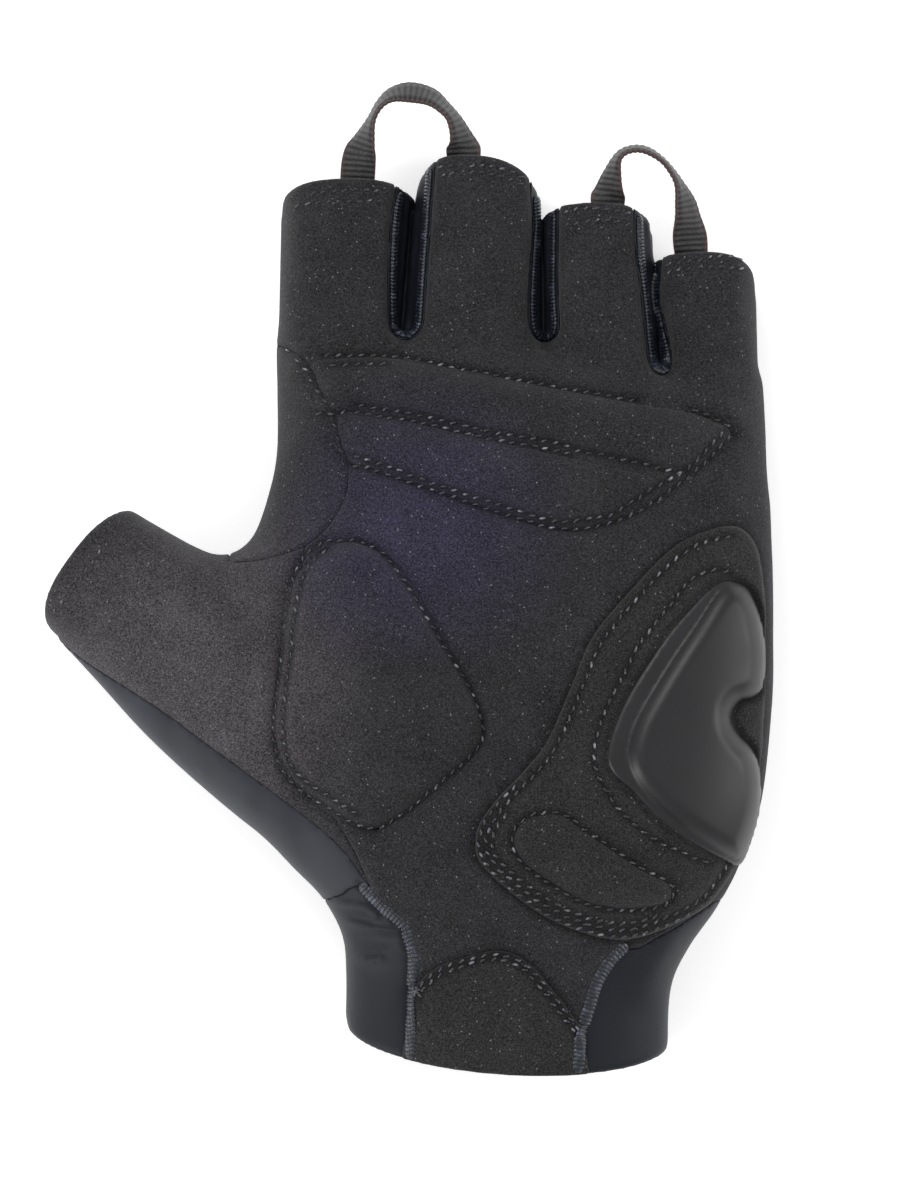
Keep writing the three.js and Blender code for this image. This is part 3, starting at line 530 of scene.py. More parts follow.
# Rows of stitches: how far each pulls the cloth in, in millimetres, and its line in pixels of the
# photograph
ROWS = {
    "knuckles_top": (0.6, [
        (322, 356), (363, 356), (398, 357), (425, 363), (462, 370), (508, 379), (558, 389), (604, 396),
        (636, 402),
    ]),
    "knuckles_top_end": (0.4, [(688, 409), (707, 417), (722, 423), (731, 430)]),
    "knuckles_top_short": (0.3, [(327, 367), (358, 365), (389, 365)]),
    "knuckles_middle": (0.75, [
        (357, 405), (380, 410), (402, 413), (428, 418), (453, 424), (478, 430), (515, 437), (552, 443),
        (577, 451), (591, 454), (615, 459), (642, 465), (668, 472), (684, 474),
    ]),
    "knuckles_middle_second": (0.4, [
        (352, 412), (380, 417), (428, 425), (478, 437), (515, 444), (552, 451), (572, 456),
    ]),
    "knuckles_middle_short": (0.3, [(313, 414), (331, 415), (350, 411)]),
    "knuckles_low": (0.85, [
        (350, 465), (379, 472), (425, 488), (450, 496), (476, 506), (503, 514), (538, 525), (563, 530),
        (585, 529), (608, 524), (637, 513), (654, 502), (681, 482), (700, 467), (713, 453), (732, 435),
    ]),
    "knuckles_low_second": (0.4, [
        (352, 455), (375, 463), (402, 472), (430, 483), (455, 491), (492, 503), (529, 515), (556, 522),
        (580, 521), (597, 518), (614, 514), (631, 502), (652, 489), (672, 478), (690, 466), (708, 448),
        (724, 431),
    ]),
    "thumb_pad_left": (0.55, [
        (325, 541), (301, 560), (293, 584), (286, 619), (283, 651), (278, 690), (275, 725), (280, 763),
        (297, 785), (326, 804), (358, 823), (377, 827),
    ]),
    "thumb_pad_left_second": (0.35, [
        (330, 549), (309, 566), (302, 588), (295, 621), (292, 653), (287, 691), (284, 724), (289, 757),
        (304, 777), (331, 795), (360, 813),
    ]),
    "thumb_pad_top": (0.5, [(325, 541), (340, 541), (358, 541)]),
    "thumb_pad_right": (0.95, [
        (358, 541), (378, 550), (399, 573), (424, 612), (444, 646), (465, 680), (478, 707), (484, 730),
        (479, 745), (462, 762), (433, 787), (404, 812), (377, 827),
    ]),
    "gel_surround": (0.45, [
        (729, 573), (709, 570), (687, 581), (670, 604), (653, 623), (636, 646), (625, 668), (611, 694),
        (600, 719), (593, 747), (593, 764), (606, 792), (620, 811), (648, 834), (681, 851), (709, 862),
    ]),
}


def inset(line, distance):
    """A closed line moved inwards by a distance, whichever way round it runs."""
    ahead = np.roll(line, -1, axis=0) - np.roll(line, 1, axis=0)
    ahead /= np.linalg.norm(ahead, axis=1)[:, None]
    x, y = line[:, 0], line[:, 1]
    area = (x * np.roll(y, -1) - y * np.roll(x, -1)).sum()
    inward = np.stack([-ahead[:, 1], ahead[:, 0]], axis=1) * math.copysign(1, area)
    return line + inward * distance


# Rows that follow the edge of a pad or patch: how far each pulls the cloth in, how far it lies inside the
# edge, and the part of the outline that it follows
EDGE_ROWS = [
    ("palm_patch", 0.5, 1.9, slice(0, 118)),
    ("palm_patch", 0.2, 0.6, slice(44, 104)),
    ("palm_patch", 0.3, 3.0, slice(48, 100)),
    ("heel_pad", 0.6, -0.3, slice(None)),
    ("heel_patch", 0.2, 0.6, slice(0, 50)),
    ("heel_patch", 0.25, 1.5, slice(0, 50)),
]
rows = [(press, eased(on_photo(points), 6)) for press, points in ROWS.values()]
for name, press, distance, part in EDGE_ROWS:
    edge = inset(outlines[name], distance)
    rows.append((press, np.concatenate([edge, edge[:1]])[part]))


def cushion(name, height, run, power=2.0):
    """How far a pad swells: nothing at its outline, and its full height so far inside it."""
    depth = np.clip(-inside[name] / run, 0, 1)
    return height * (1 - (1 - depth) ** power)


def sheet_edge(name, height, radius):
    """Thickness of a flat patch with a rounded edge."""
    depth = np.clip(-inside[name] / radius, 0, 1)
    return height * np.sqrt(np.maximum(1 - (1 - depth) ** 2, 0))


# How far each seam presses the cloth in, and over what half width, in millimetres
SEAM_PRESS = [
    ("cuff_left", 0.6, 0.8), ("cuff_right", 0.6, 0.8), ("thumb_back", 0.35, 1.2), ("gusset", 0.2, 0.8),
    ("thumb_root", 0.12, 0.8),
]


def slack(seed, size):
    """Smooth random waves no shorter than about a size in millimetres, about one high."""
    rng = np.random.default_rng(seed)
    noise = rng.standard_normal((COUNT[0], COUNT[1]))
    fx = np.fft.fftfreq(COUNT[0], STEP)[:, None]
    fy = np.fft.fftfreq(COUNT[1], STEP)[None, :]
    keep = np.exp(-((fx * fx + fy * fy) * (size * 1.4) ** 2))
    found = np.real(np.fft.ifft2(np.fft.fft2(noise) * keep))
    return (found / found.std()).astype(np.float32)


# Wrinkles in pixels of the photograph: the line of each, its half width and height in millimetres
WRINKLES = [
    ([(322, 902), (348, 903), (364, 905), (376, 913)], 0.6, 0.6),
    ([(330, 910), (366, 915)], 1.4, -0.3),
    ([(334, 917), (357, 923), (376, 927), (400, 929)], 0.6, 0.5),
    ([(336, 931), (390, 938)], 1.6, -0.22),
    ([(342, 950), (356, 956), (368, 958), (380, 956)], 0.6, 0.45),
    ([(360, 951), (384, 948), (404, 943)], 0.5, 0.16),
    ([(366, 963), (406, 958)], 0.5, 0.12),
    ([(640, 985), (656, 963), (672, 940)], 3.0, 0.35),
    ([(390, 868), (430, 855), (470, 850)], 3.0, -0.45),
    ([(420, 885), (505, 870)], 3.4, 0.45),
    ([(430, 925), (480, 900)], 3.0, -0.4),
    ([(560, 930), (612, 905)], 2.4, 0.4),
    ([(150, 690), (232, 720)], 2.6, 0.3),
    ([(118, 640), (150, 560)], 3.4, -0.35),
    ([(180, 560), (214, 640)], 4.0, 0.3),
    ([(205, 690), (262, 640)], 3.2, -0.35),
    ([(238, 560), (262, 610)], 2.6, 0.4),
    ([(300, 300), (375, 282)], 4.0, -0.3),
    ([(305, 262), (380, 250)], 3.6, 0.28),
    ([(440, 250), (515, 262)], 3.6, -0.28),
    ([(440, 292), (520, 300)], 4.0, 0.28),
    ([(565, 262), (628, 258)], 3.4, -0.25),
    ([(672, 316), (748, 330)], 3.8, 0.3),
    ([(670, 352), (757, 372)], 4.2, -0.3),
    ([(395, 540), (470, 560)], 5.0, 0.4),
    ([(430, 585), (520, 640)], 6.0, -0.45),
    ([(505, 560), (600, 575)], 5.0, 0.35),
    ([(500, 700), (560, 640)], 4.0, 0.35),
    ([(400, 860), (380, 830)], 2.4, -0.5),
]

# Relief of the palm side, in millimetres: rows and seams press it in, hems and padding raise it, wrinkles
# and slack make it uneven. The stretch knit of the cuff lies smooth, and so does the cloth where it turns
# down at the sides.
LONG_WAVE = 0.16
SHORT_WAVE = 0.07
PAD_EDGE_SWELL = 0.6  # the stuffing spreads under the cloth round a pad
HEM_FOLD = 0.28  # one more layer of cloth in the hem
SLOT_SINK = 0.7  # the strips between the fingers lie below the suede
SLOT_LIP = 0.2  # the suede stands up a little round a slot
SLOT_CUT = 0.35  # and its overlocked edge is drawn in
SIDE_SEAM_GROOVE = 0.28
level = step_up(-form.min(axis=2), 0.4, 4.0)
knit_edge = eased(on_photo([(250, 860), (330, 893), (415, 950), (500, 1000), (600, 930), (720, 880)]), 6)
suede_part = step_up(PLAN_Y - np.interp(PLAN_X, knit_edge[:, 0], knit_edge[:, 1]), -2.0, 3.0)
relief = (LONG_WAVE * slack(3, 9.0) + SHORT_WAVE * slack(5, 4.0)) * level * (0.15 + 0.85 * suede_part)
for points, half_width, height in WRINKLES:
    relief = relief + height * bell(from_line(eased(on_photo(points), 6)), half_width) * level
# Where rows meet, the deeper one counts. Beside the thread the colour is darkened: painted shade.
dent = np.zeros_like(relief)
painted_seam_shade = np.zeros_like(relief)
for press, line in rows:
    away = from_line(line)
    dent = np.maximum(dent, press * (0.6 * bell(away, 1.5) + 0.5 * bell(away, 0.6)))
    painted_seam_shade = np.maximum(painted_seam_shade, bell(away, 0.6))
relief = relief - dent
for name in ("knuckle_pad_upper", "knuckle_pad_lower", "thumb_pad"):
    relief = relief + PAD_EDGE_SWELL * bell(inside[name] - 2.6, 2.2)
relief = relief + HEM_FOLD * step_up(rim, -6.1, -5.4) * level * suede_part
for name, depth, half_width in SEAM_PRESS:
    away = from_line(seams[name])
    relief = relief - depth * bell(away, half_width) * np.maximum(level, 0.3)
    # painted shade along the seam
    painted_seam_shade = np.maximum(painted_seam_shade, 0.7 * depth * bell(away, 0.5))
for wall, zone in zip(walls, slot_zone.values()):
    clear = step_up(from_line(wall), 0.5, 1.7)
    relief = relief - SLOT_SINK * step_up(-zone, -0.2, 1.0) * clear + SLOT_LIP * bell(zone - 1.0, 1.0)
    relief = relief - SLOT_CUT * bell(zone, 0.4) * clear
    # painted shade along the suede's edge at the slot
    painted_seam_shade = np.maximum(painted_seam_shade, bell(zone - 0.1, 0.45))
# painted shade round the edges of the patches and the gel pad
for name in ("palm_patch", "heel_patch", "gel_pad"):
    painted_seam_shade = np.maximum(painted_seam_shade, 0.8 * bell(inside[name] - 0.2, 0.5))
seam_share = np.interp((PLAN_Y - HAND_AXIS[1]) / HAND_LENGTH, *zip(*SIDE_SEAM))
seam_height = (seam_share * PALM_DEPTH).astype(np.float32)[:, :, None]
on_palm = step_up(Z, seam_height - 1.5, seam_height + 2.0)
outer = form - relief.astype(np.float32)[:, :, None] * on_palm
outer = outer + SIDE_SEAM_GROOVE * bell(Z - seam_height, 0.8)

# Neighbouring fingers are parted above and below, and touch at half their height
TOUCH_HEIGHT = 10.5
TOUCH_HALF = 2.6  # how far above and below that they touch
GAP_HALF = 0.35  # half of the gap where they are parted
WEB_HALF = 1.3  # half of how thick the cloth is where they touch
for i, (wall, zone) in enumerate(zip(walls, slot_zone.values())):
    gap = np.minimum(GAP_HALF - from_line(wall + np.array((0.0, 1.5))), -zone - 1.0)
    away = np.abs(Z - TOUCH_HEIGHT) - TOUCH_HALF
    outer = np.maximum(outer, np.minimum(gap[:, :, None], away))
    end = min(FINGERS[names[i]]["rim_y"], FINGERS[names[i + 1]]["rim_y"]) - 2.5
    touch = np.maximum(np.maximum(from_line(wall) - WEB_HALF, PLAN_Y - end), zone + 0.6)
    outer = np.minimum(outer, np.maximum(touch[:, :, None], away + 0.4))
outer = outer.astype(np.float32)

# The cloth, with its cut edges rounded inside and out
CUT_ROUNDING = 0.3
RIM_ROUNDING = 1.1
shell = soft_max(soft_max(outer, -(form + WALL), CUT_ROUNDING), rim[:, :, None], RIM_ROUNDING)
shell = shell.astype(np.float32)

# Thickness of what lies on the palm side. The patch is pressed thin beside and under the gel pad's outer
# edge, which turns down at the side. The gel pad is moulded with a flat flange round a dome.
outer_edge = step_up(PLAN_X, 58.0, 62.0) * step_up(-inside["gel_pad"], -1.2, 0.2)
lift_patch = sheet_edge("palm_patch", 1.45, 0.9) * (1 - 0.85 * outer_edge)
lift_heel_pad = cushion("heel_pad", 1.5, 4.6)
lift_heel_patch = sheet_edge("heel_patch", 0.85, 0.7)
lift_upper = cushion("knuckle_pad_upper", 2.0, 5.2)
lift_lower = cushion("knuckle_pad_lower", 2.0, 5.4)
lift_thumb = cushion("thumb_pad", 2.2, 5.0)
inside["gel_dome"] = from_outline(eased(on_photo(DOME_FOOT), 6, closed=True))
lift_gel = sheet_edge("gel_pad", 2.0, 1.0) + cushion("gel_dome", 2.0, 3.4, 2.2)
lift_all = np.maximum.reduce(
    [lift_patch + lift_heel_pad, lift_heel_patch, lift_upper, lift_lower, lift_thumb, lift_gel]
).astype(np.float32)


# Meshes
def read(grid, points):
    """Values of a plan grid at points, by linear blending."""
    fx = np.clip((points[:, 0] - LOW[0]) / STEP, 0, COUNT[0] - 1.001)
    fy = np.clip((points[:, 1] - LOW[1]) / STEP, 0, COUNT[1] - 1.001)
    i, j = fx.astype(int), fy.astype(int)
    a, b = fx - i, fy - j
    near = grid[i, j] * (1 - a) * (1 - b) + grid[i + 1, j] * a * (1 - b)
    return near + grid[i, j + 1] * (1 - a) * b + grid[i + 1, j + 1] * a * b


def note(mesh, name, values):
    """Keeps one number for each point of a mesh, for its material."""
    kept = mesh.attributes.new(name, "FLOAT", "POINT")
    kept.data.foreach_set("value", np.asarray(values, dtype=np.float32))


FAR = 2.0  # a distance past which the mesher needs no difference


def surface(name, field, material, merged=0.0):
    """A piece from where a field is below zero, over no more of the grid than it fills."""
    near = field < STEP * 2
    spans = []
    for axis in range(3):
        filled = np.flatnonzero(near.any(axis=tuple(k for k in range(3) if k != axis)))
        spans.append((max(filled[0] - 2, 0), min(filled[-1] + 3, COUNT[axis])))
    part = field[tuple(slice(*span) for span in spans)]
    grid = openvdb.FloatGrid(FAR)
    corner = tuple(ORIGIN[k] + spans[k][0] for k in range(3))
    part = np.ascontiguousarray(np.clip(part, -FAR, FAR), dtype=np.float32)
    grid.copyFromArray(part, ijk=corner, tolerance=0)
    grid.transform = openvdb.createLinearTransform(voxelSize=STEP)
    points, triangles, quads = grid.convertToPolygons(0.0, merged)
    mesh = bpy.data.meshes.new(name)
    mesh.from_pydata((points * MM).tolist(), [], triangles.tolist() + quads.tolist())
    # painted shade along the rows, seams and edges, kept to the palm side
    note(mesh, "painted_seam_shade", read(painted_seam_shade, points) * step_up(points[:, 2], 12.0, 15.0))
    return finished(name, mesh, material)


def finished(name, mesh, *materials):
    """Puts a mesh into the scene with its materials."""
    mesh.shade_smooth()
    for material in materials:
        mesh.materials.append(material)
    made = bpy.data.objects.new(name, mesh)
    bpy.context.scene.collection.objects.link(made)
    return made


def settle(piece, slot, *nodes):
    """A piece rides on the glove and stands for its nodes, which are hidden. The slot is not used."""
    if nodes:
        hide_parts(*nodes)
    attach(piece, "root")


def linear(code):
    """The linear colour of an sRGB hex value."""
    found = []
    for k in (0, 2, 4):
        share = int(code[k : k + 2], 16) / 255
        found.append(share / 12.92 if share <= 0.04045 else ((share + 0.055) / 1.055) ** 2.4)
    return (*found, 1.0)


def add(material, kind, inputs=None, **settings):
    """Adds a node to a material, with its settings, and its inputs set to a value or linked."""
    tree = material.node_tree
    made = tree.nodes.new("ShaderNode" + kind)
    for name, value in settings.items():
        setattr(made, name, value)
    for socket, value in (inputs or {}).items():
        if isinstance(value, bpy.types.NodeSocket):
            tree.links.new(value, made.inputs[socket])
        else:
            made.inputs[socket].default_value = value
    return made


def start(name):
    """A material with its surface shader, and places in the object in millimetres."""
    material = bpy.data.materials.new(name)
    material.use_nodes = True
    shader = material.node_tree.nodes["Principled BSDF"]
    where = add(material, "TexCoord")
    place = add(material, "Mapping", {"Vector": where.outputs["Object"], "Scale": (1000, 1000, 1000)})
    return material, shader, place.outputs["Vector"]


def dress(material, shader, colour, relief=None, **values):
    """Joins a colour and a relief to the surface shader, and sets its other sockets."""
    material.node_tree.links.new(colour.outputs[2], shader.inputs["Base Color"])
    if relief:
        material.node_tree.links.new(relief.outputs["Normal"], shader.inputs["Normal"])
    for name, value in values.items():
        shader.inputs[name.replace("_", " ")].default_value = value
    return material


# Synthetic suede: nonwoven microfibre, sanded to a nap and dyed through. It is matt, with a faint bloom
# at glancing angles, slightly cloudy where the nap lies both ways, and it catches pale lint. The fibres
# are 0.01 mm thick, far too fine to show, so the nap is drawn as tufts 0.5 mm across with finer ones of
# 0.2 mm on them, and it lies one way or the other over 9 mm or so.
# Where the colour differs from the rest: the middle in millimetres, how far that reaches in full and at all,
# its strength, and how much more red, green and blue comes back there. The middle of the palm is a little
# more violet, and the thumb is painted paler: painted light, falling on it from the lower left.
TINTS_AND_PAINTED_LIGHT = [
    ((2.0, 10.0, 32.0), (4.0, 34.0), 0.75, (1.35, 1.2, 2.2, 1.0)),
    ((-43.0, -22.0, 16.0), (16.0, 46.0), 1.0, (2.6, 2.5, 2.5, 1.0)),
]


def microfibre_suede(name, deep, raised):
    material, shader, place = start(name)
    cloud, nap, fibre, speckle = (
        add(material, "TexNoise", {"Vector": place, "Scale": scale, "Detail": detail, "Roughness": rough})
        for scale, detail, rough in ((0.11, 4.0, 0.6), (1.9, 5.0, 0.7), (4.5, 3.0, 0.75), (3.2, 3.0, 0.85))
    )
    patchy, brushed, flecked = (
        add(material, "MapRange", {"Value": noise.outputs["Fac"], "From Min": low, "From Max": high})
        for noise, low, high in ((cloud, 0.35, 0.68), (nap, 0.36, 0.66), (speckle, 0.42, 0.7))
    )
    lay = add(
        material, "Math", {0: patchy.outputs["Result"], 1: brushed.outputs["Result"]}, operation="MULTIPLY"
    )
    shown = add(
        material, "Math", {0: lay.outputs[0], 1: 0.3, 2: flecked.outputs["Result"]}, operation="MULTIPLY_ADD"
    )
    tone = add(material, "Mix", {0: shown.outputs[0], 6: linear(deep), 7: linear(raised)}, data_type="RGBA")
    # a violet tint, and painted light on the thumb
    for middle, reach, strength, gain in TINTS_AND_PAINTED_LIGHT:
        away = add(material, "VectorMath", {0: place, 1: middle}, operation="DISTANCE")
        limits = {"From Min": reach[0], "From Max": reach[1], "To Min": strength, "To Max": 0.0}
        share = add(
            material, "MapRange", {"Value": away.outputs["Value"], **limits}, interpolation_type="SMOOTHSTEP"
        )
        tone = add(
            material, "Mix", {0: share.outputs["Result"], 6: tone.outputs[2], 7: gain},
            data_type="RGBA", blend_type="MULTIPLY",
        )
    # lint: pale short fibres 0.02 mm thick, drawn as bits 0.3 mm across, so that they show, one to every
    # few square millimetres
    bits = add(material, "TexVoronoi", {"Vector": place, "Scale": 0.95, "Randomness": 1.0}, feature="F1")
    limits = {"From Min": 0.07, "From Max": 0.16, "To Min": 1.0, "To Max": 0.0}
    speck = add(material, "MapRange", {"Value": bits.outputs["Distance"], **limits})
    chosen = add(material, "TexNoise", {"Vector": bits.outputs["Position"], "Scale": 3.1, "Detail": 0.0})
    some = add(material, "MapRange", {"Value": chosen.outputs["Fac"], "From Min": 0.42, "From Max": 0.66})
    lint = add(
        material, "Math", {0: speck.outputs["Result"], 1: some.outputs["Result"]}, operation="MULTIPLY"
    )
    faint = add(material, "Math", {0: lint.outputs[0], 1: 0.6}, operation="MULTIPLY")
    linted = add(
        material, "Mix", {0: faint.outputs[0], 6: tone.outputs[2], 7: linear("aaa8a6")}, data_type="RGBA"
    )
    # painted shade along the thread, the seams, the slot edges and round the patches
    seam_shade_attribute = add(material, "Attribute", attribute_name="painted_seam_shade")
    shadowed = add(material, "Math", {0: seam_shade_attribute.outputs["Fac"], 1: 0.6}, operation="MULTIPLY")
    colour = add(
        material, "Mix", {0: shadowed.outputs[0], 6: linted.outputs[2], 7: linear("050506")}, data_type="RGBA"
    )
    coarse = add(material, "Bump", {"Height": nap.outputs["Fac"], "Strength": 0.55, "Distance": 0.00028})
    tufts = coarse.outputs["Normal"]
    fine = add(
        material, "Bump",
        {"Height": fibre.outputs["Fac"], "Strength": 0.6, "Distance": 0.00014, "Normal": tufts},
    )
    return dress(
        material, shader, colour, fine, Roughness=0.96, IOR=1.5, Specular_IOR_Level=0.12, Sheen_Weight=0.35,
        Sheen_Roughness=0.5, Sheen_Tint=linear("a4a4a6"),
    )


# Stretch knit: fine warp-knitted nylon and elastane. Its courses lie 0.35 mm apart, drawn at 0.5 mm so
# that they show, and the filament yarn gives it a soft satin light on every fold.
def warp_knit(name, ground, light, dullness, bloom, turn):
    material, shader, place = start(name)
    turned = add(material, "Mapping", {"Vector": place, "Rotation": (0, 0, turn)})
    wave = {"Vector": turned.outputs["Vector"], "Scale": 0.62, "Distortion": 0.6, "Detail": 1.0}
    wales, courses = (
        add(material, "TexWave", wave, wave_type="BANDS", bands_direction=way) for way in ("X", "Y")
    )
    loops = add(material, "Math", {0: wales.outputs["Fac"], 1: courses.outputs["Fac"]}, operation="MULTIPLY")
    shade = add(material, "TexNoise", {"Vector": place, "Scale": 0.09, "Detail": 3.0})
    mixed = add(
        material, "Mix", {0: shade.outputs["Fac"], 6: linear(ground), 7: linear(light)}, data_type="RGBA"
    )
    bump = add(material, "Bump", {"Height": loops.outputs[0], "Strength": 0.2, "Distance": 0.00006})
    return dress(
        material, shader, mixed, bump, Roughness=dullness, IOR=1.53, Specular_IOR_Level=0.22,
        Sheen_Weight=bloom, Sheen_Roughness=0.35, Sheen_Tint=linear("9aa0ac"),
    )


# Sewing thread: bonded polyester filament, twisted. Its colour holds painted shade and painted highlights: it
# is painted dark where it dips into the cloth and lighter on the crown of each stitch, with painted glints on
# some crowns, and some stitches painted lighter than others. One turn of the twist takes 0.3 mm and is drawn
# at
# 0.4 mm, so that it shows.
def filament_thread(name, thread_painted_dark, crown, glint):
    material, shader, place = start(name)
    raised = add(material, "Attribute", attribute_name="crown")
    # painted shade where the thread dips and painted light on its crown
    mixed = add(
        material, "Mix", {0: raised.outputs["Fac"], 6: linear(thread_painted_dark), 7: linear(crown)}, data_type="RGBA"
    )
    patch = add(material, "TexNoise", {"Vector": place, "Scale": 0.7, "Detail": 2.0})
    turned = add(material, "MapRange", {"Value": patch.outputs["Fac"], "From Min": 0.52, "From Max": 0.7})
    shining = add(
        material, "Math", {0: turned.outputs["Result"], 1: raised.outputs["Fac"]}, operation="MULTIPLY"
    )
    # painted glints on the crowns of some stitches
    lit = add(
        material, "Mix", {0: shining.outputs[0], 6: mixed.outputs[2], 7: linear(glint)}, data_type="RGBA"
    )
    twist = add(
        material, "TexWave", {"Vector": place, "Scale": 0.9, "Distortion": 1.5, "Detail": 2.0},
        wave_type="BANDS", bands_direction="DIAGONAL",
    )
    bump = add(material, "Bump", {"Height": twist.outputs["Fac"], "Strength": 0.4, "Distance": 0.00008})
    return dress(
        material, shader, lit, bump, Roughness=0.3, IOR=1.57, Sheen_Weight=0.05, Sheen_Tint=linear("a9b0bd")
    )


# Gel pad: soft thermoplastic polyurethane skin moulded over gel. The mould was blasted, so the skin is
# satin, with a fine even grain and broad soft highlights. The grain is 0.08 mm and is drawn at 0.18 mm,
# so that it shows.
def moulded_gel_skin():
    material, shader, place = start("moulded_gel_skin")
    grain = add(material, "TexNoise", {"Vector": place, "Scale": 5.5, "Detail": 2.0})
    haze = add(material, "TexNoise", {"Vector": place, "Scale": 0.16, "Detail": 3.0})
    mixed = add(
        material, "Mix", {0: haze.outputs["Fac"], 6: linear("121215"), 7: linear("1a1a1e")}, data_type="RGBA"
    )
    rough = add(material, "MapRange", {"Value": haze.outputs["Fac"], "To Min": 0.36, "To Max": 0.48})
    material.node_tree.links.new(rough.outputs["Result"], shader.inputs["Roughness"])
    bump = add(material, "Bump", {"Height": grain.outputs["Fac"], "Strength": 0.12, "Distance": 0.00005})
    return dress(material, shader, mixed, bump, IOR=1.5)


# Grosgrain ribbon: polyester, woven with thick weft ribs. The ribs are modelled, and their colour is painted
# light on each rib and painted shade in the warp between them. The yarn along them is 0.15 mm, drawn at 0.28
# mm to show.
def grosgrain(name, rib_painted_dark, rib_painted_light):
    material, shader, place = start(name)
    raised = add(material, "Attribute", attribute_name="crown")
    yarn = add(material, "TexNoise", {"Vector": place, "Scale": 3.6, "Detail": 3.0, "Roughness": 0.7})
    broken = add(material, "MapRange", {"Value": yarn.outputs["Fac"], "From Min": 0.3, "From Max": 0.6})
    shown = add(
        material, "Math", {0: broken.outputs["Result"], 1: raised.outputs["Fac"]}, operation="MULTIPLY"
    )
    # painted light on the crown of each rib, broken by the yarn, and painted shade between
    mixed = add(
        material, "Mix", {0: shown.outputs[0], 6: linear(rib_painted_dark), 7: linear(rib_painted_light)}, data_type="RGBA"
    )
    bump = add(material, "Bump", {"Height": yarn.outputs["Fac"], "Strength": 0.45, "Distance": 0.0001})
    return dress(
        material, shader, mixed, bump, Roughness=0.55, IOR=1.55, Specular_IOR_Level=0.35, Sheen_Weight=0.1
    )


suede = microfibre_suede("microfibre_suede_black", "151415", "464548")
suede_patch = microfibre_suede("microfibre_suede_patch", "161515", "474647")
knit_cuff = warp_knit("warp_knit_navy", "15171e", "1b1e26", 0.52, 0.02, 0.2)
knit_back = warp_knit("warp_knit_black", "2d2e33", "383940", 0.62, 0.2, 0.1)
# each thread's tones: its painted shade, its painted light on the crown and its painted glint
thread = filament_thread("filament_thread_black", "08080a", "303137", "96989f")
overlock_thread = filament_thread("overlock_thread_navy", "05060a", "222632", "50566a")
gel_skin = moulded_gel_skin()
# each ribbon's tones: painted shade between the ribs and painted light on them
ribbon_face = grosgrain("grosgrain_black", "0a090a", "4c494b")
ribbon_edge = grosgrain("grosgrain_edge_brown", "2a1b1b", "5a3f3d")

# Zones that divide the shell into its panels, less than zero inside. The lines of the seams are closed
# outside the hand, in shares of the palm's width and the hand's length.
TONGUE_LOWEST = 0.38  # share of the palm's depth down to which the suede tongue parts the cuff
SEAM_LAP = 0.15  # how far a panel reaches under its neighbour
below_cuff = np.concatenate(
    [on_hand([(-1.2, 0.206)]), seams["cuff_top"], on_hand([(1, 0.22), (1, -0.5), (-1.2, -0.5)])]
)
tongue_line = np.concatenate(
    [seams["cuff_left"], seams["cuff_right"][::-1], on_hand([(0.212, 0.4), (-0.311, 0.4)])]
)
wrapped = np.concatenate([seams["thumb_back"], on_hand([(-0.5, 0.05), (-1.2, 0.05), (-1.2, 0.6)])])
gusset_line = np.concatenate([seams["gusset"], on_hand([(-0.565, 0.76), (-0.55, 1.015)])])
thumb_close = on_hand([(-0.4, 0.1), (-1.2, 0.1), (-1.2, 0.95), (-0.6, 0.95), (-0.572, 0.7)])
thumb_line = np.concatenate([seams["thumb_root"], thumb_close])
tongue = np.maximum(from_outline(tongue_line)[:, :, None], TONGUE_LOWEST * PALM_DEPTH - Z)
below_cuff = np.maximum(from_outline(below_cuff)[:, :, None], -tongue)
back = np.minimum(Z - seam_height, from_outline(wrapped)[:, :, None])
panels = [("cuff_band", below_cuff, knit_cuff, "stretch"), ("back_panel", back, knit_back, "stretch")]
for name, zone in slot_zone.items():
    panels.append(("fourchette_" + name, zone[:, :, None], knit_cuff, "stretch"))
panels.append(("index_gusset", from_outline(gusset_line)[:, :, None], suede, "suede"))
panels.append(("thumb_panel", from_outline(thumb_line)[:, :, None], suede, "suede"))
MERGED = 0.02  # flat parts of the cloth get fewer and larger faces
remaining = shell
for name, zone, material, slot in panels:
    cut = soft_max(remaining, zone - SEAM_LAP, CUT_ROUNDING)
    settle(surface(name + "_cloth", cut, material, MERGED), slot, name)
    remaining = soft_max(remaining, -zone, CUT_ROUNDING).astype(np.float32)
settle(surface("palm_panel_cloth", remaining, suede, MERGED), "suede", "palm_panel")
del remaining, shell, panels, tongue, below_cuff, back, cut

# Pads and patches, each sunk a little into the cloth that it is sewn to. They fade out low on the sides.
SUNK = 0.5
LOWEST = 13.5  # height of their lower ends
above = step_up(Z, 11.0, 14.0)


def laid(name, lift, material, face=outer, under=0.0, hem=LOWEST):
    """A piece between the cloth, raised by what lies under it, and its own top. At the side of the hand it
    ends at the height hem, with a rounded edge."""
    top = face - lift.astype(np.float32)[:, :, None] * above
    bottom = outer - under * above + SUNK
    field = np.maximum(soft_max(top, hem - Z, 1.2), np.maximum(-bottom, inside[name][:, :, None]))
    return surface(name + "_sewn", field.astype(np.float32), material)


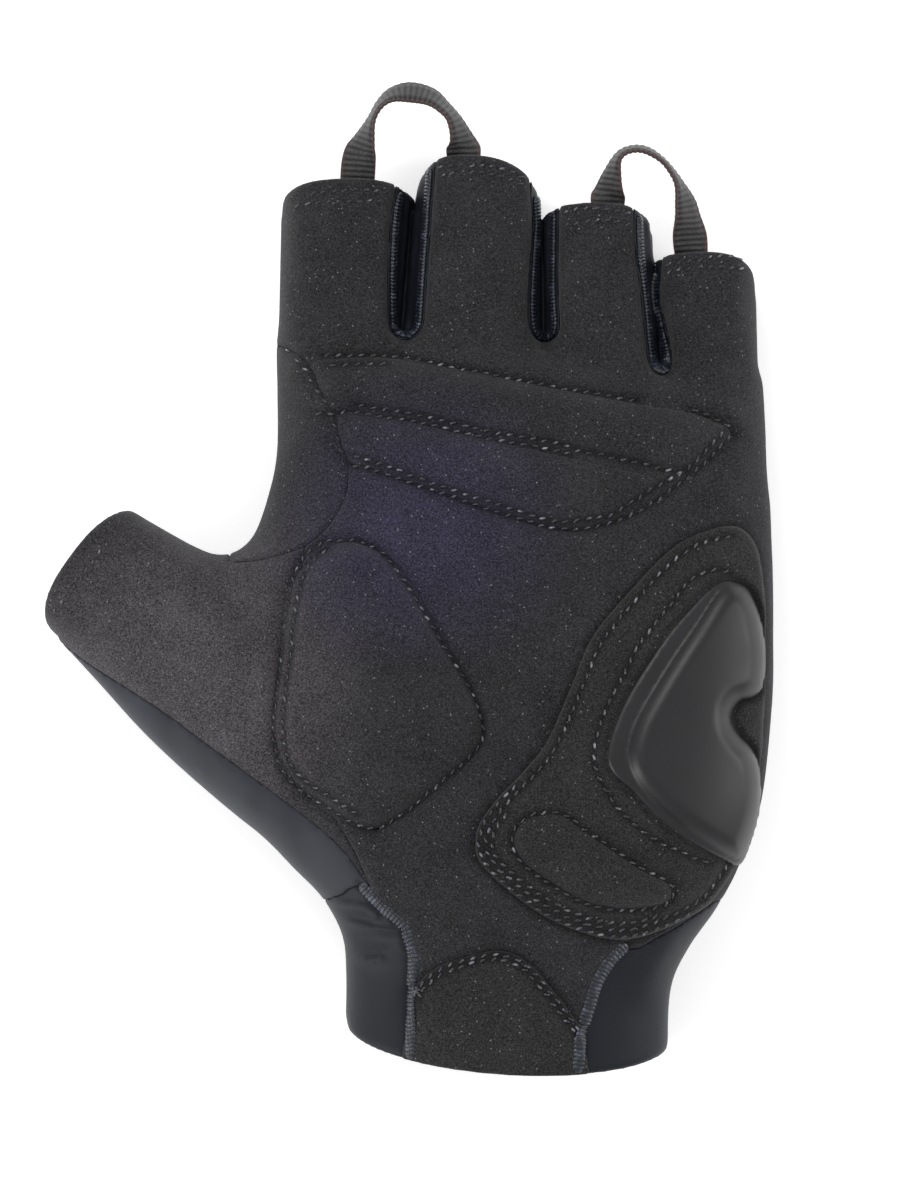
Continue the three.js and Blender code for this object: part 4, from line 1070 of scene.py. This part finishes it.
settle(laid("palm_patch", lift_patch, suede_patch), "suede", "palm_patch")
on_patch = lift_patch.astype(np.float32)[:, :, None]
heel_pad_lift = lift_patch + lift_heel_pad
for name, slot, fill, made in (
    ("gel_pad", "gel", 0.9, laid("gel_pad", lift_gel, gel_skin, face=form, hem=20.5)),
    ("heel_pad", "suede", 0.7, laid("heel_pad", heel_pad_lift, suede_patch, under=on_patch)),
    ("thumb_pad", "suede", 0.7, laid("thumb_pad", lift_thumb, suede)),
    ("knuckle_pad_upper", "suede", 0.6, laid("knuckle_pad_upper", lift_upper, suede)),
    ("knuckle_pad_lower", "suede", 0.6, laid("knuckle_pad_lower", lift_lower, suede)),
):
    settle(made, slot, name)
field = np.maximum(outer - lift_heel_patch[:, :, None] * above, -(outer + SUNK))
field = np.maximum(np.maximum(field, inside["heel_patch"][:, :, None]), LOWEST - Z)
field = soft_max(field, rim[:, :, None], 0.5)
settle(surface("heel_patch_sewn", field.astype(np.float32), suede_patch), "suede", "heel_patch")

# Height of the finished palm side over the plan
top = outer - lift_all[:, :, None] * above
filled = top < 0
highest = COUNT[2] - 1 - np.argmax(filled[:, :, ::-1], axis=2)
ix, iy = np.indices(highest.shape)
upper = top[ix, iy, np.minimum(highest + 1, COUNT[2] - 1)]
lower = top[ix, iy, highest]
height = LOW[2] + STEP * (highest + lower / np.minimum(lower - upper, -1e-6))
height = np.where(filled.any(axis=2), height, 0.0)
slope_x, slope_y = np.gradient(height, STEP)
del field, top, filled


STEEPEST = 2.2  # rise over run, so that threads on the edge of a pad don't turn over


def normals_at(points):
    """Which way the palm side faces at plan points, with its steepest parts eased."""
    sx = np.clip(read(slope_x, points), -STEEPEST, STEEPEST)
    sy = np.clip(read(slope_y, points), -STEEPEST, STEEPEST)
    found = np.stack([-sx, -sy, np.ones_like(sx)], axis=1)
    return found / np.linalg.norm(found, axis=1)[:, None]


def unit(vectors):
    """Vectors brought to a length of one."""
    return vectors / np.maximum(np.linalg.norm(vectors, axis=-1, keepdims=True), 1e-9)


class Sewn:
    """Gathers small swept shapes into one mesh."""

    def __init__(self):
        self.points, self.faces, self.crowns, self.count = [], [], [], 0

    def sweep(self, centres, sides, ups, wide, high, profile, crown):
        """A skin round a line: wide and high scale the profile's columns at each centre."""
        n, m = len(centres), len(profile)
        offset = profile[None, :, 0, None] * sides[:, None] * np.reshape(wide, (-1, 1, 1))
        rise = profile[None, :, 1, None] * ups[:, None] * np.reshape(high, (-1, 1, 1))
        self.points.append((centres[:, None] + offset + rise).reshape(-1, 3))
        here = self.count + np.arange(n * m).reshape(n, m)
        beside = np.roll(here, -1, axis=1)
        quads = np.stack([here[:-1], beside[:-1], beside[1:], here[1:]], axis=-1)
        self.faces += quads.reshape(-1, 4).tolist()
        self.faces += [here[0][::-1].tolist(), here[-1].tolist()]
        # one share a point, with which the thread and ribbon materials paint light and shade
        self.crowns.append(np.repeat(crown, m))
        self.count += n * m

    def finish(self, name, *materials):
        """Makes one mesh of all that was gathered."""
        mesh = bpy.data.meshes.new(name)
        mesh.from_pydata((np.concatenate(self.points) * MM).tolist(), [], self.faces)
        note(mesh, "crown", np.concatenate(self.crowns))
        return finished(name, mesh, *materials)


def round_profile(sides):
    """A round thread's section."""
    return np.array([(math.cos(a), math.sin(a)) for a in np.linspace(0, 2 * np.pi, sides, endpoint=False)])


# The thread is 0.3 mm thick and is drawn at 0.36 to 0.48 mm, so that it shows. No two stitches are alike:
# each is a little off its place in the row, in millimetres, and off the slant of the others, in degrees.
STITCH_SECTION = round_profile(8)
STITCH_SUNK = 0.16
OFF_PLACE = 0.07
OFF_SLANT = 9
uneven = np.random.default_rng(11)


def stitch_row(into, line, pitch=2.1, length=1.35, lean=24.0, radius=0.24):
    """A row of slanting stitches that dip into the cloth at both ends."""
    stops = evenly(line, pitch)
    ahead = unit(np.gradient(stops, axis=0))
    for k in range(len(stops) - 1):
        middle = (stops[k] + stops[k + 1]) / 2 + uneven.normal(0, OFF_PLACE, 2)
        turn = math.radians(lean + uneven.normal(0, OFF_SLANT))
        run = unit(ahead[k] + ahead[k + 1])
        c, s = math.cos(turn), math.sin(turn)
        way = np.array((run[0] * c - run[1] * s, run[0] * s + run[1] * c))
        t = np.linspace(-1, 1, 7)
        flat = middle + way * (t[:, None] * length / 2)
        arch = radius * 1.1 * (1 - np.abs(t) ** 3) - STITCH_SUNK
        centres = np.column_stack([flat, read(height, flat) + arch])
        up = normals_at(flat)
        along = unit(np.gradient(centres, axis=0))
        side = unit(np.cross(along, up))
        swell = radius * np.sqrt(np.maximum(1 - np.abs(t) ** 4, 0.05))
        # painted light on the stitch's crown and painted shade at its ends, with some stitches painted
        # lighter than others at random
        crown = (1 - np.abs(t) ** 2.5) * uneven.uniform(0.55, 1.0)
        into.sweep(centres, side, unit(np.cross(side, along)), swell, swell, STITCH_SECTION, crown)


palm_stitches = Sewn()
for _, line in rows:
    stitch_row(palm_stitches, line)

# Hems of the fingers and thumb, and the seam of the gusset, in pixels of the photograph
HEM_ROWS = [
    [(308, 196), (330, 193), (359, 191), (392, 194)],
    [(293, 207), (318, 204), (340, 203), (385, 202)],
    [(435, 169), (455, 167), (476, 167), (502, 170), (526, 180)],
    [(438, 178), (460, 174), (481, 174), (507, 179), (524, 187)],
    [(561, 215), (574, 211), (589, 209), (601, 210), (617, 212), (632, 216)],
    [(561, 227), (574, 225), (586, 223), (598, 221), (613, 222), (632, 226)],
    [(663, 264), (687, 263), (705, 259), (719, 257), (732, 257), (744, 262)],
    [(663, 272), (679, 270), (695, 268), (707, 267), (723, 268), (746, 270)],
    [(53, 614), (62, 604), (72, 595), (84, 576), (98, 556), (112, 541)],
]
GUSSET_ROW = [
    (290, 346), (309, 369), (322, 390), (336, 415), (343, 438), (348, 459), (348, 477), (345, 495),
]
for points in HEM_ROWS:
    stitch_row(palm_stitches, eased(on_photo(points), 6), pitch=1.9, length=1.2, radius=0.2)
gusset_row = eased(on_photo(GUSSET_ROW), 6) + np.array((-0.9, 0.0))
stitch_row(palm_stitches, gusset_row, pitch=2.3, length=1.2, radius=0.18)
settle(palm_stitches.finish("stitches_palm_side", thread), "thread")


# Overlocking lays thread over and over an edge. Its ribs are 0.5 mm apart between the fingers and 0.6 mm
# on the cuff, and are drawn at 0.66 and 0.75 mm, so that they show.
SLOT_RIBS = 0.66
CUFF_RIBS = 0.75
RIB_STEPS = 6
RIB_HEIGHT = 0.9
RIB_SUNK = 0.25
CORD_SECTION = round_profile(10)


def ribbed(into, line, width, pitch):
    """An overlocked edge along a line."""
    stops = evenly(line, pitch / RIB_STEPS)
    centres = np.column_stack([stops, read(height, stops)])
    for _ in range(4):
        centres[1:-1, 2] = (centres[:-2, 2] + 2 * centres[1:-1, 2] + centres[2:, 2]) / 4
    up = normals_at(stops)
    along = unit(np.gradient(centres, axis=0))
    side = unit(np.cross(along, up))
    step = np.arange(len(stops))
    rib = np.abs(np.sin(np.pi * step / RIB_STEPS))
    # both ends taper off
    ease = np.clip(0.35 + 0.65 * (np.minimum(step, step[::-1]) / RIB_STEPS), 0.35, 1)
    swell = (0.5 + 0.5 * np.sqrt(rib)) * ease
    broad = (0.9 + 0.1 * rib) * ease
    out = unit(np.cross(side, along))
    centres = centres + out * (RIB_HEIGHT * 0.5 - RIB_SUNK)
    # rib**1.5 paints highlights on the crown of each rib and shade between them, through the thread's
    # material
    into.sweep(centres, side, out, broad * width / 2, swell * RIB_HEIGHT / 2, CORD_SECTION, rib**1.5)


for name, line in slots.items():
    edges = Sewn()
    inner = evenly(inset(line, 0.95)[:-1], 0.5)
    ribbed(edges, inner[read(rim, inner) < -0.6], 2.2, SLOT_RIBS)
    settle(edges.finish("overlock_" + name, overlock_thread), "thread")

for side_name, width in (("left", 2.4), ("right", 2.7)):
    cord = Sewn()
    line = evenly(seams["cuff_" + side_name], 0.5)
    ribbed(cord, line[read(rim, line) < -0.1], width, CUFF_RIBS)
    name = "cuff_binding_" + side_name
    settle(cord.finish(name + "_cord", overlock_thread), "thread", name)

# Pull tabs: ribbon from under one rim, round its bend, to under the other. Each station of a route is a
# share of the way between the feet, a share of the height, and how far the ribbon's face is rolled out of
# the plan view, in degrees.
RIBBON_WIDTH = 6.4
RIBBON_THICKNESS = 0.9
RIBBON_RIBS = 1.03
RIB_POINTS = 8
TAB_INSIDE = 5  # how far a leg runs on under its rim
TABS = {
    "pull_tab_index_middle": dict(
        fingers=("index", "middle"), feet=(0.145, -0.243), height=15.9,
        route=[
            (0.02, 0.28, 20), (0.062, 0.453, 52), (0.13, 0.686, 77), (0.21, 0.86, 76), (0.325, 0.97, 65),
            (0.49, 1.0, 54), (0.68, 0.95, 58), (0.81, 0.83, 67), (0.91, 0.686, 66), (0.985, 0.453, 44),
        ],
    ),
    "pull_tab_ring_little": dict(
        fingers=("ring", "little"), feet=(0.19, -0.27), height=10.1,
        route=[
            (0.015, 0.24, 36), (0.05, 0.52, 60), (0.105, 0.79, 76), (0.2, 0.935, 79), (0.35, 0.99, 79),
            (0.5, 0.94, 79), (0.65, 0.79, 82), (0.76, 0.6, 81), (0.855, 0.36, 75), (0.93, 0.02, 54),
            (0.965, -0.31, 38),
        ],
    ),
}


def tab_foot(finger, foot):
    """Where a leg leaves its rim, and how it leans to lie against the palm face from inside."""
    offset = foot * finger["width"] / 2
    _, middle, half_width, half_depth = finger_section(finger, finger["rim_y"] - TAB_INSIDE)
    under = []
    for side in (-0.5, 0.5):
        t = min(abs(offset + side * RIBBON_WIDTH) / (half_width - WALL), 1)
        under.append(middle + (half_depth - WALL) * (1 - t**SQUARENESS) ** (1 / SQUARENESS))
    z = sum(under) / 2 - 0.45 - RIBBON_THICKNESS / 2
    lean = math.degrees(math.atan2(under[1] - under[0], RIBBON_WIDTH))
    return np.array((finger["rim_x"] + offset, finger["rim_y"], z)), lean


# The ribbon's section near its edge: how far in, and how thick it is there, as a share. The woven edge is
# a rounded cord with a furrow beside it, and the ribs start past that. The columns are counted across a
# face, and those of the cords take the colour of the edge.
EDGE_STEPS = [0, 0.1, 0.35, 0.62, 0.7]
EDGE_THICKNESS = [0.25, 0.62, 0.8, 0.62, 1.0]
EDGE_COLUMNS = {0, 1, 2, 10, 11, 12}


def ribbon(name, fingers, feet, height, route):
    """A pull tab, from seat to seat."""
    first, lean_in = tab_foot(FINGERS[fingers[0]], feet[0])
    last, lean_out = tab_foot(FINGERS[fingers[1]], feet[1])
    seat = np.array((0, -TAB_INSIDE, 0))
    stations = [(*(first + seat), lean_in), (*first, lean_in)]
    for across, up, roll in route:
        x, _, z = first + (last - first) * across
        stations.append((x, first[1] + height * up, z, roll))
    stations += [(*last, -lean_out), (*(last + seat), -lean_out)]
    fine = eased(stations, 30)
    run = run_along(fine[:, :3])
    count = int(round(run[-1] / RIBBON_RIBS)) * RIB_POINTS
    fine = in_steps(fine, run, count)
    centres = fine[:, :3]
    along = unit(np.gradient(centres, axis=0))
    roll = np.radians(fine[:, 3])
    flat = unit(np.stack([along[:, 1], -along[:, 0], np.zeros(len(along))], axis=1))
    wide = flat * np.cos(roll)[:, None] + np.array((0, 0, 1.0)) * np.sin(roll)[:, None]
    wide = unit(wide - along * (wide * along).sum(axis=1)[:, None])
    thick = unit(np.cross(wide, along))
    rib = 0.5 - 0.5 * np.cos(2 * np.pi * np.arange(count + 1) / RIB_POINTS)
    swell = 0.66 + 0.34 * np.sqrt(rib)
    strip = Sewn()
    edge = [step - RIBBON_WIDTH / 2 for step in EDGE_STEPS]
    columns = edge + [-1.2, 0, 1.2] + [-c for c in edge[::-1]]
    rounds = EDGE_THICKNESS + [1.0] * 3 + EDGE_THICKNESS[::-1]
    top_side = [(c, RIBBON_THICKNESS / 2 * r) for c, r in zip(columns, rounds)]
    profile = np.array(top_side + [(c, -thickness) for c, thickness in top_side[::-1]])
    # rib paints highlights on the crown of each rib and shade between them
    strip.sweep(centres, wide, thick, np.ones(count + 1), swell, profile, rib)
    made = strip.finish(name + "_ribbon", ribbon_face, ribbon_edge)
    sides = len(profile)
    for k, face in enumerate(made.data.polygons):
        if k < count * sides and k % sides % len(columns) in EDGE_COLUMNS:
            face.material_index = 1
    settle(made, "ribbon", name)


for name, tab in TABS.items():
    ribbon(name, **tab)

# The floor: an opal acrylic light table, a cast sheet that is frosted and lit from below, so it looks white
# and even. It lies a hair under the cloth, so that the two don't share a plane.
FLOOR_HALF = 3
FLOOR_DROP = -0.0001
ways = [(-1, -1), (1, -1), (1, 1), (-1, 1)]
corners = [(x * FLOOR_HALF, y * FLOOR_HALF, FLOOR_DROP) for x, y in ways]
floor_mesh = bpy.data.meshes.new("floor")
floor_mesh.from_pydata(corners, [], [(0, 1, 2, 3)])
opal, shader, place = start("opal_acrylic_table")
tone = add(opal, "TexNoise", {"Vector": place, "Scale": 0.01, "Detail": 2.0})
mixed = add(opal, "Mix", {0: tone.outputs["Fac"], 6: linear("f6f6f6"), 7: linear("fafafa")}, data_type="RGBA")
dress(
    opal, shader, mixed, Roughness=0.9, IOR=1.49, Specular_IOR_Level=0.1, Emission_Color=(1, 1, 1, 1),
    Emission_Strength=0.5,
)
floor_mesh.materials.append(opal)
floor = bpy.data.objects.new("floor", floor_mesh)
bpy.context.scene.collection.objects.link(floor)

# Light from all round, and three soft boxes turned to the glove
world = bpy.data.worlds.new("studio")
world.use_nodes = True
background = world.node_tree.nodes["Background"]
background.inputs["Color"].default_value = (1, 1, 1, 1)
background.inputs["Strength"].default_value = 0.62
bpy.context.scene.world = world


def softbox(name, place, size, power):
    lamp = bpy.data.lights.new(name, "AREA")
    lamp.shape = "RECTANGLE"
    lamp.size, lamp.size_y = size
    lamp.energy = power
    made = bpy.data.objects.new(name, lamp)
    made.location = place
    made.rotation_euler = (Vector((0, 0, 0)) - Vector(place)).to_track_quat("-Z", "Y").to_euler()
    bpy.context.scene.collection.objects.link(made)


softbox("key", (-0.3, 0.65, 0.8), (0.5, 0.5), 3.4)
softbox("left", (-0.85, -0.5, 0.42), (0.3, 0.5), 3.6)
softbox("right", (0.95, 0.05, 0.4), (0.25, 0.6), 2.4)

# The camera looks straight down from far off. It is as high as makes the photograph's scale true at
# SCALE_HEIGHT, which is where the outline of the glove lies.
SENSOR = 36
SCALE_HEIGHT = 0.016
camera = bpy.data.cameras.new("camera")
camera.sensor_fit = "AUTO"
camera.sensor_width = SENSOR
camera.lens = 300
eye = bpy.data.objects.new("camera", camera)
wide, tall = PHOTO_SIZE
middle_x = (wide / 2 - PHOTO_CENTRE[0]) * PHOTO_SCALE * MM
middle_y = (PHOTO_CENTRE[1] - tall / 2) * PHOTO_SCALE * MM
eye.location = (middle_x, middle_y, tall * PHOTO_SCALE * MM * camera.lens / SENSOR + SCALE_HEIGHT)
bpy.context.scene.collection.objects.link(eye)
bpy.context.scene.camera = eye
bpy.context.scene.view_settings.view_transform = "Standard"
